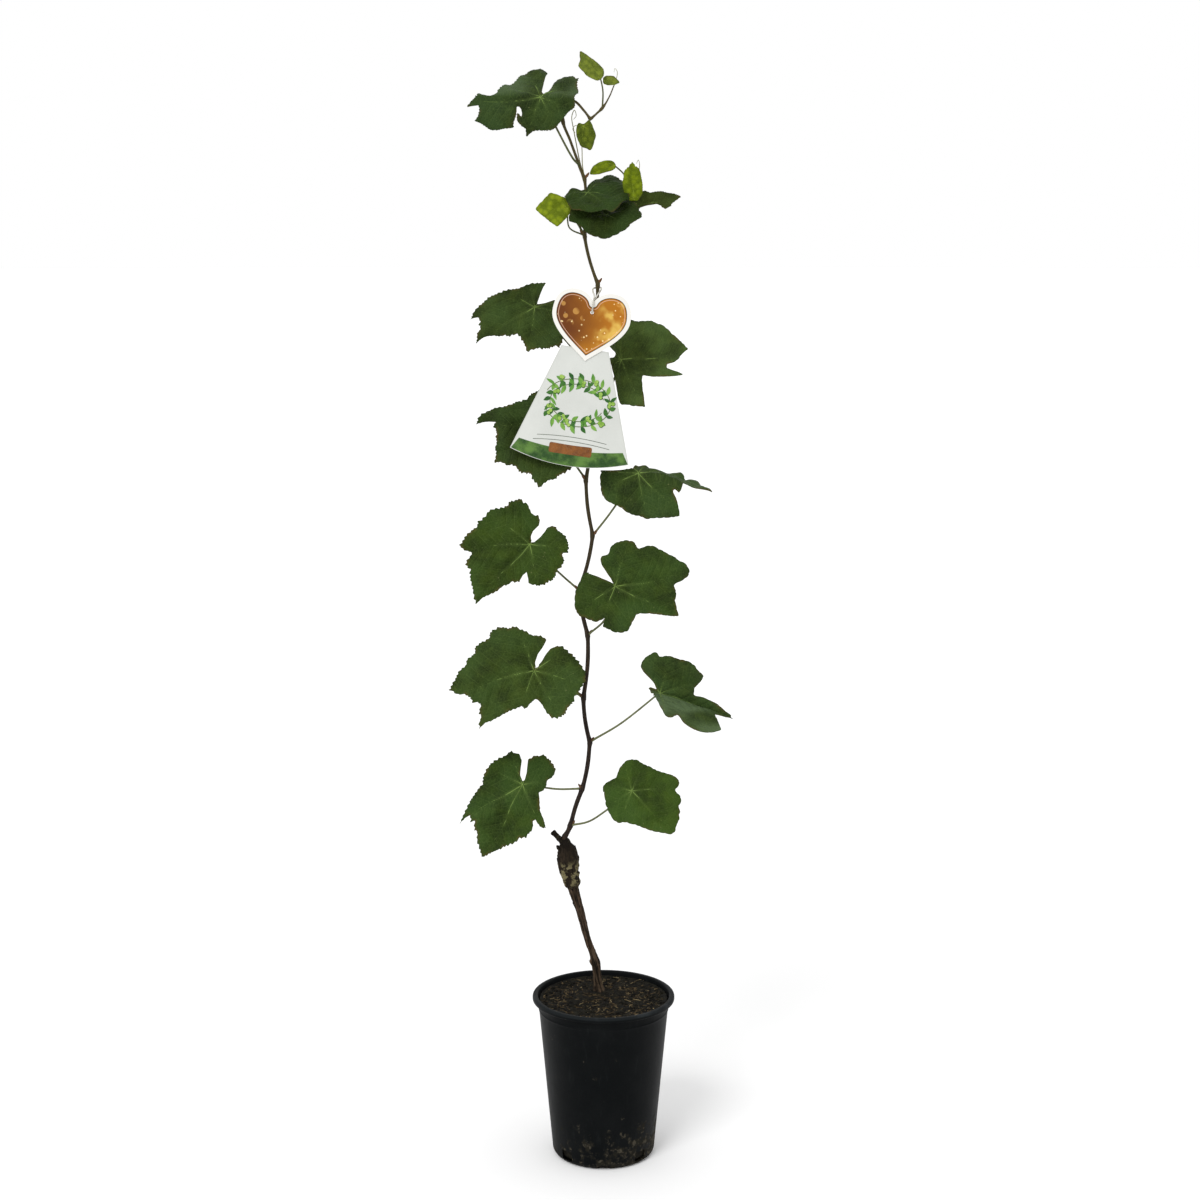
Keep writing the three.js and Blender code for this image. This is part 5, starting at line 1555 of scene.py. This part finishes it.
def heart_outline():
    """The heart's outline, anticlockwise from its tip."""
    steps = 26
    w, h, cleft = TAG["heart_wide"] / 2, TAG["heart_tall"] / 2, TAG["cleft_up"]
    right = np.concatenate([
        bezier(2 * steps, (0, -h), (0.25 * w, -0.72 * h), (w, -0.25 * h), (w, 0.3 * h)),
        bezier(steps, (w, 0.3 * h), (w, 0.85 * h), (0.72 * w, h), (0.5 * w, h)),
        bezier(steps, (0.5 * w, h), (0.26 * w, h), (0.06 * w, 0.86 * h), (0, cleft)),
    ])
    left = right[1:][::-1] * (-1, 1)
    return np.concatenate([right, [(0, cleft)], left])


def circle(x, y, radius, sides=28):
    """The outline of a circle round (x, y)."""
    turn = 2 * math.pi * np.arange(sides) / sides
    return np.stack([x + radius * np.cos(turn), y + radius * np.sin(turn)], axis=1)


def heart_finish():
    """White border, thin dark line, and an amber panel with soft round lights."""
    finish = Finish("amber_print", {"Specular IOR Level": 0.15})
    flat = finish.map("print")
    x, up, _ = finish.split(flat)
    edge, _, _ = finish.split(finish.map("edge"))
    cloud = finish.noise(flat, 34, 2)
    sway = (cloud - 0.5) * 0.03
    glow = finish.between(up - x * 0.4 + sway, 0.0, -0.04)
    shine = finish.between(finish.noise(flat, 52, 2), 0.44, 0.62) * finish.between(x, 0.002, 0.02)
    large = finish.between(finish.cells(flat, 78), 0.34, 0.3) * finish.between(cloud, 0.46, 0.6)
    small = finish.between(finish.cells(flat, 185), 0.2, 0.14) * finish.between(cloud, 0.44, 0.52)
    line = finish.between(edge, 0.0066, 0.0068) * finish.between(edge, 0.0074, 0.0072)
    colour = finish.coats(
        finish.mix(finish.between(x + up * 0.4 + sway, -0.03, 0.034),
                   (96, 50, 14), (164, 102, 22)),
        (glow * 0.55, (206, 136, 30)),
        (shine * 0.75, (212, 178, 86)),
        (large * 0.35, (232, 180, 96)),
        (small * 0.75, (246, 222, 164)),
        (line * 0.7, (222, 184, 160)),
        (finish.between(edge, 0.0056, 0.0053), (70, 44, 26)),
        (finish.between(edge, 0.0047, 0.0044), (218, 216, 210)),
    )
    grain = finish.noise(flat, 2600, 2)
    return finish.done(colour, 0.42 + grain * 0.12, finish.bump(grain, 0.00006, 0.4))


def card_finish():
    """Uncoated white card, a little greyer at its edges: painted shade."""
    finish = Finish("white_card", {"Specular IOR Level": 0.15})
    flat = finish.map("print")
    edge, _, _ = finish.split(finish.map("edge"))
    cloud = finish.noise(flat, 22, 3)
    grain = finish.noise(flat, 1800, 3)
    colour = finish.mix(finish.between(cloud, 0.3, 0.7), (189, 191, 186), (196, 198, 193))
    # grey band along the outline: painted shade at the card's edges
    colour = finish.mix(finish.between(edge, 0.0022, 0.0) * 0.35, colour, (166, 166, 160))
    return finish.done(colour, 0.58 + grain * 0.15, finish.bump(grain, 0.00008, 0.5))


def print_finish(name, dark, light, size):
    """Printed ink that runs from a dark to a light tone in soft patches."""
    finish = Finish(name, {"Specular IOR Level": 0.12})
    flat = finish.map("print")
    cloud = finish.noise(flat, size, 3)
    dot = finish.noise(flat, 1500, 2)
    colour = finish.mix(finish.between(cloud, 0.34, 0.66), dark, light)
    colour = finish.mix(finish.between(dot, 0.5, 0.8) * 0.15, colour, (230, 236, 214))
    return finish.done(colour, 0.5 + dot * 0.1, finish.bump(dot, 0.00004, 0.3))


def oval_leaf(x, y, turn, length, width):
    """A pointed oval whose foot is at (x, y)."""
    share = np.linspace(0, 1, 13)
    side = width / 2 * np.sin(math.pi * share ** 0.8) ** 0.9
    line = np.concatenate([np.stack([share * length, -side], axis=1),
                           np.stack([share * length, side], axis=1)[-2:0:-1]])
    c, s = math.cos(turn), math.sin(turn)
    return line @ np.array([[c, s], [-s, c]]) + (x, y)


def ribbon(path, width):
    """The outline of a flat ribbon along a path."""
    way = unit(np.gradient(path, axis=0))
    out = np.stack([-way[:, 1], way[:, 0]], axis=1) * width / 2
    return np.concatenate([path - out, (path + out)[::-1]])


def rounded_plaque(x, y, wide, tall):
    """A rectangle round (x, y) with rounded corners."""
    corner = 2.2
    line = []
    for k, (sx, sy) in enumerate(((1, -1), (1, 1), (-1, 1), (-1, -1))):
        at = (x + sx * (wide / 2 - corner), y + sy * (tall / 2 - corner))
        line += arc(*at, corner, 90 * k - 90, 90 * k)
    return np.array(line)


def wreath():
    """An open wreath of pointed leaves and round berries, as flat outlines of each kind."""
    dice = np.random.default_rng(31)
    stems, dark, light, berries, shade = [], [], [], [], []
    for wide, tall, start, end in ((38, 27, 200, 520), (31, 21, 20, 340)):
        turns = np.radians(np.linspace(start, end, 90))
        path = np.stack([wide * np.cos(turns), -62 + tall * np.sin(turns)], axis=1)
        stems.append(ribbon(path, 0.9))
        for k in range(3, 88, 5):
            way = path[k + 1] - path[k - 1]
            heading = math.atan2(way[1], way[0])
            for side in (-1, 1):
                turn = heading + side * dice.uniform(0.6, 1.1)
                leaf = oval_leaf(*path[k], turn, dice.uniform(7, 11.5), dice.uniform(3.4, 5.4))
                (dark if dice.random() < 0.5 else light).append(leaf)
            if k % 3 == 0:
                spot = path[k] + dice.uniform(-3.5, 3.5, 2)
                for _ in range(3):
                    at = spot + dice.uniform(-2.6, 2.6, 2)
                    size = dice.uniform(1.5, 2.3)
                    shade.append(circle(at[0] + 0.3, at[1] - 0.4, size + 0.35, 18))
                    berries.append(circle(*at, size, 18))
    return stems, dark, light, shade, berries


def add_label():
    """The heart, the card and the layers of ink printed on the card."""
    heart_at, card_at = TAG["heart_at"], TAG["card_at"]
    middle = TAG["front"] + TAG["thick"] / 2
    hole = circle(0, TAG["hole_up"], TAG["hole_radius"])
    heart = label_layer(heart_outline(), heart_at, middle, HEART_THICK, 1.5, [hole])
    add_piece(layered_mesh([heart]), "label_heart", heart_finish(),
              ["tag_heart"])

    top, foot, tall = TAG["card_top_wide"] / 2, TAG["card_foot_wide"] / 2, TAG["card_tall"]
    sag = np.array([(x, -tall - TAG["card_sag"] * (1 - (x / foot) ** 2))
                    for x in np.linspace(-foot, foot, 90)])
    left = np.linspace((-top, 0), (-foot, -tall), 70, endpoint=False)
    right = np.linspace((foot, -tall), (top, 0), 70)[1:]
    edge = np.concatenate([left, sag, right, np.linspace((top, 0), (-top, 0), 40)[1:-1]])
    depth = TAG["front"] + TAG["thick"] * 1.5 + GAP
    card = label_layer(edge, card_at, depth, CARD_THICK, 3)
    add_piece(layered_mesh([card]), "label_card", card_finish(), ["tag_card"])

    slant = (foot - top) / tall
    band_top = [(x, y + 18.5 - 0.0009 * x * x) for x, y in sag if abs(x) < foot - 18.5 * slant]
    band = np.concatenate([sag * (0.985, 1) + (0, 0.5), np.array(band_top)[::-1] * (0.985, 1)])
    plaque = rounded_plaque(0, band_top[len(band_top) // 2][1] + 0.5, 49, 11.5)
    rules = [ribbon(np.array([(x, up - 0.0016 * x * x) for x in np.linspace(-w, w, 40)]), 0.7)
             for up, w in ((-101.5, 40), (-106.5, 44))]
    stems, dark, light, shade, berries = wreath()
    inks = [  # piece and outlines, dark and light tone, height over the card, size of patches
        ("print_band", [band], (34, 66, 24), (84, 118, 52), 0.04, 60),
        ("print_plaque", [plaque], (96, 56, 26), (128, 78, 34), 0.16, 90),
        ("print_rules", rules, (84, 90, 82), (106, 112, 102), 0.04, 60),
        ("print_stems", stems, (70, 84, 40), (92, 106, 52), 0.04, 60),
        ("print_dark_leaves", dark, (30, 76, 28), (58, 106, 38), 0.11, 60),
        ("print_light_leaves", light, (72, 124, 42), (114, 156, 66), 0.18, 60),
        ("print_berry_shades", shade, (36, 68, 24), (52, 86, 32), 0.25, 60),
        ("print_berries", berries, (112, 152, 54), (150, 180, 88), 0.32, 60),
    ]
    for name, outlines, low, high, lift, patches in inks:
        ink = depth - CARD_THICK / 2 - lift
        layers = [label_layer(rim, card_at, ink, INK_THICK, 2.5) for rim in outlines]
        finish = print_finish(name + "_ink", low, high, patches)
        add_piece(layered_mesh(layers), name, finish)


def string_path():
    """The string's way from before the heart's hole, round the shoot and back behind it."""
    x, y, z = LOOP["around"]
    wide, deep = LOOP["reach"]
    lean = math.radians(-TAG["lean"])

    def on_heart(up, depth):
        return (TAG["heart_at"][0] + up * math.sin(lean), depth,
                TAG["heart_at"][1] + up * math.cos(lean))

    before = TAG["front"] - LOOP["thick"] / 2 - GAP
    behind = TAG["front"] + TAG["thick"] + LOOP["thick"] / 2 + GAP
    return soft_path([
        on_heart(TAG["hole_up"], before - 0.2), on_heart(TAG["cleft_up"] + 2, before - 0.4),
        (x - 3, TAG["front"] + 10, z - 8), (x - wide, y - 2, z), (x, y + deep, z + 1.5),
        (x + wide, y - 2, z + 1), (x - 1, TAG["front"] + 12, z - 9),
        on_heart(TAG["cleft_up"], behind + 0.6), on_heart(TAG["hole_up"], behind + 0.2),
    ], 620)


def add_string(tree):
    """Two strands laid round each other, and a small knot before the hole."""
    finish = Finish("cotton_string", {"Specular IOR Level": 0.2, "Sheen Weight": 0.2})
    place = finish.place()
    fuzz = finish.noise(place, 2400, 3)
    soil = finish.noise(place, 90, 2)
    colour = finish.mix(finish.between(soil, 0.4, 0.7), (204, 202, 194), (172, 168, 156))
    colour = finish.mix(finish.between(fuzz, 0.4, 0.7) * 0.3, colour, (140, 136, 124))
    cotton = finish.done(colour, 0.75 + fuzz * 0.2, finish.bump(fuzz, 0.0002, 0.6))

    path = string_path()
    first, second = frames_along(path)
    lines = []
    for start in (0, math.pi):
        turn = start + run_length(path) * 2 * math.pi / STRAND["pitch"]
        around = first * np.cos(turn)[:, None] + second * np.sin(turn)[:, None]
        lines.append((path + STRAND["offset"] * around, np.full(len(path), STRAND["radius"])))
    t = np.linspace(0, 2 * math.pi, 90)
    knot = np.stack([np.sin(t) + 2 * np.sin(2 * t), 0.8 * np.sin(3 * t),
                     np.cos(t) - 2 * np.cos(2 * t)], axis=1) * 0.5
    lines.append((path[0] + (0, -0.3, 0) + knot, np.full(len(knot), 0.4)))
    mesh = grow(tree, lines_mesh(lines),
                {"Sides": 8, "Ribbing": 0.0001, "Rib Size": 2500.0, "Finish": cotton})
    add_piece(mesh, "label_string", cotton, ["tag_string"])


# ---- floor, light and camera ---------------------------------------------------------------


FLOOR_RADIUS = 60
CAMERA = dict(place=(-0.0042, -2.44, 1.1006), tilt=80.15, lens=64, sensor=36)
SUN = dict(strength=1.5, spread=25, tilt=48, turn=-28)


def add_stage():
    """Pale floor, white surroundings, one soft sun and the camera."""
    mesh = bpy.data.meshes.new("floor")
    ring = circle(0, 0, FLOOR_RADIUS, 64)
    mesh.from_pydata([(x, y, 0) for x, y in ring], [], [list(range(len(ring)))])
    floor = placed("floor", mesh)
    pale = Finish("pale_floor", {"Base Color": (0.86, 0.86, 0.86, 1), "Roughness": 0.9,
                                 "Specular IOR Level": 0.1})
    mesh.materials.append(pale.material)

    world = bpy.data.worlds.new("studio")
    world.use_nodes = True
    world.node_tree.nodes["Background"].inputs["Color"].default_value = (1, 1, 1, 1)
    world.node_tree.nodes["Background"].inputs["Strength"].default_value = 1.0
    bpy.context.scene.world = world
    key = bpy.data.lights.new("key", "SUN")
    key.energy, key.angle = SUN["strength"], math.radians(SUN["spread"])
    lamp = placed("key", key)
    lamp.rotation_euler = (math.radians(SUN["tilt"]), 0, math.radians(SUN["turn"]))

    eye = bpy.data.cameras.new("camera")
    eye.lens, eye.sensor_width = CAMERA["lens"], CAMERA["sensor"]
    camera = placed("camera", eye)
    camera.location = CAMERA["place"]
    camera.rotation_euler = (math.radians(CAMERA["tilt"]), 0, 0)
    bpy.context.scene.camera = camera
    bpy.context.scene.view_settings.view_transform = "Standard"


add_stage()
add_pot()
add_soil()
add_trunk()
add_shoot()
add_buds()
runs = run_tree()
add_stalks(runs)
add_tendrils(runs)
add_leaves()
add_label()
add_string(runs)
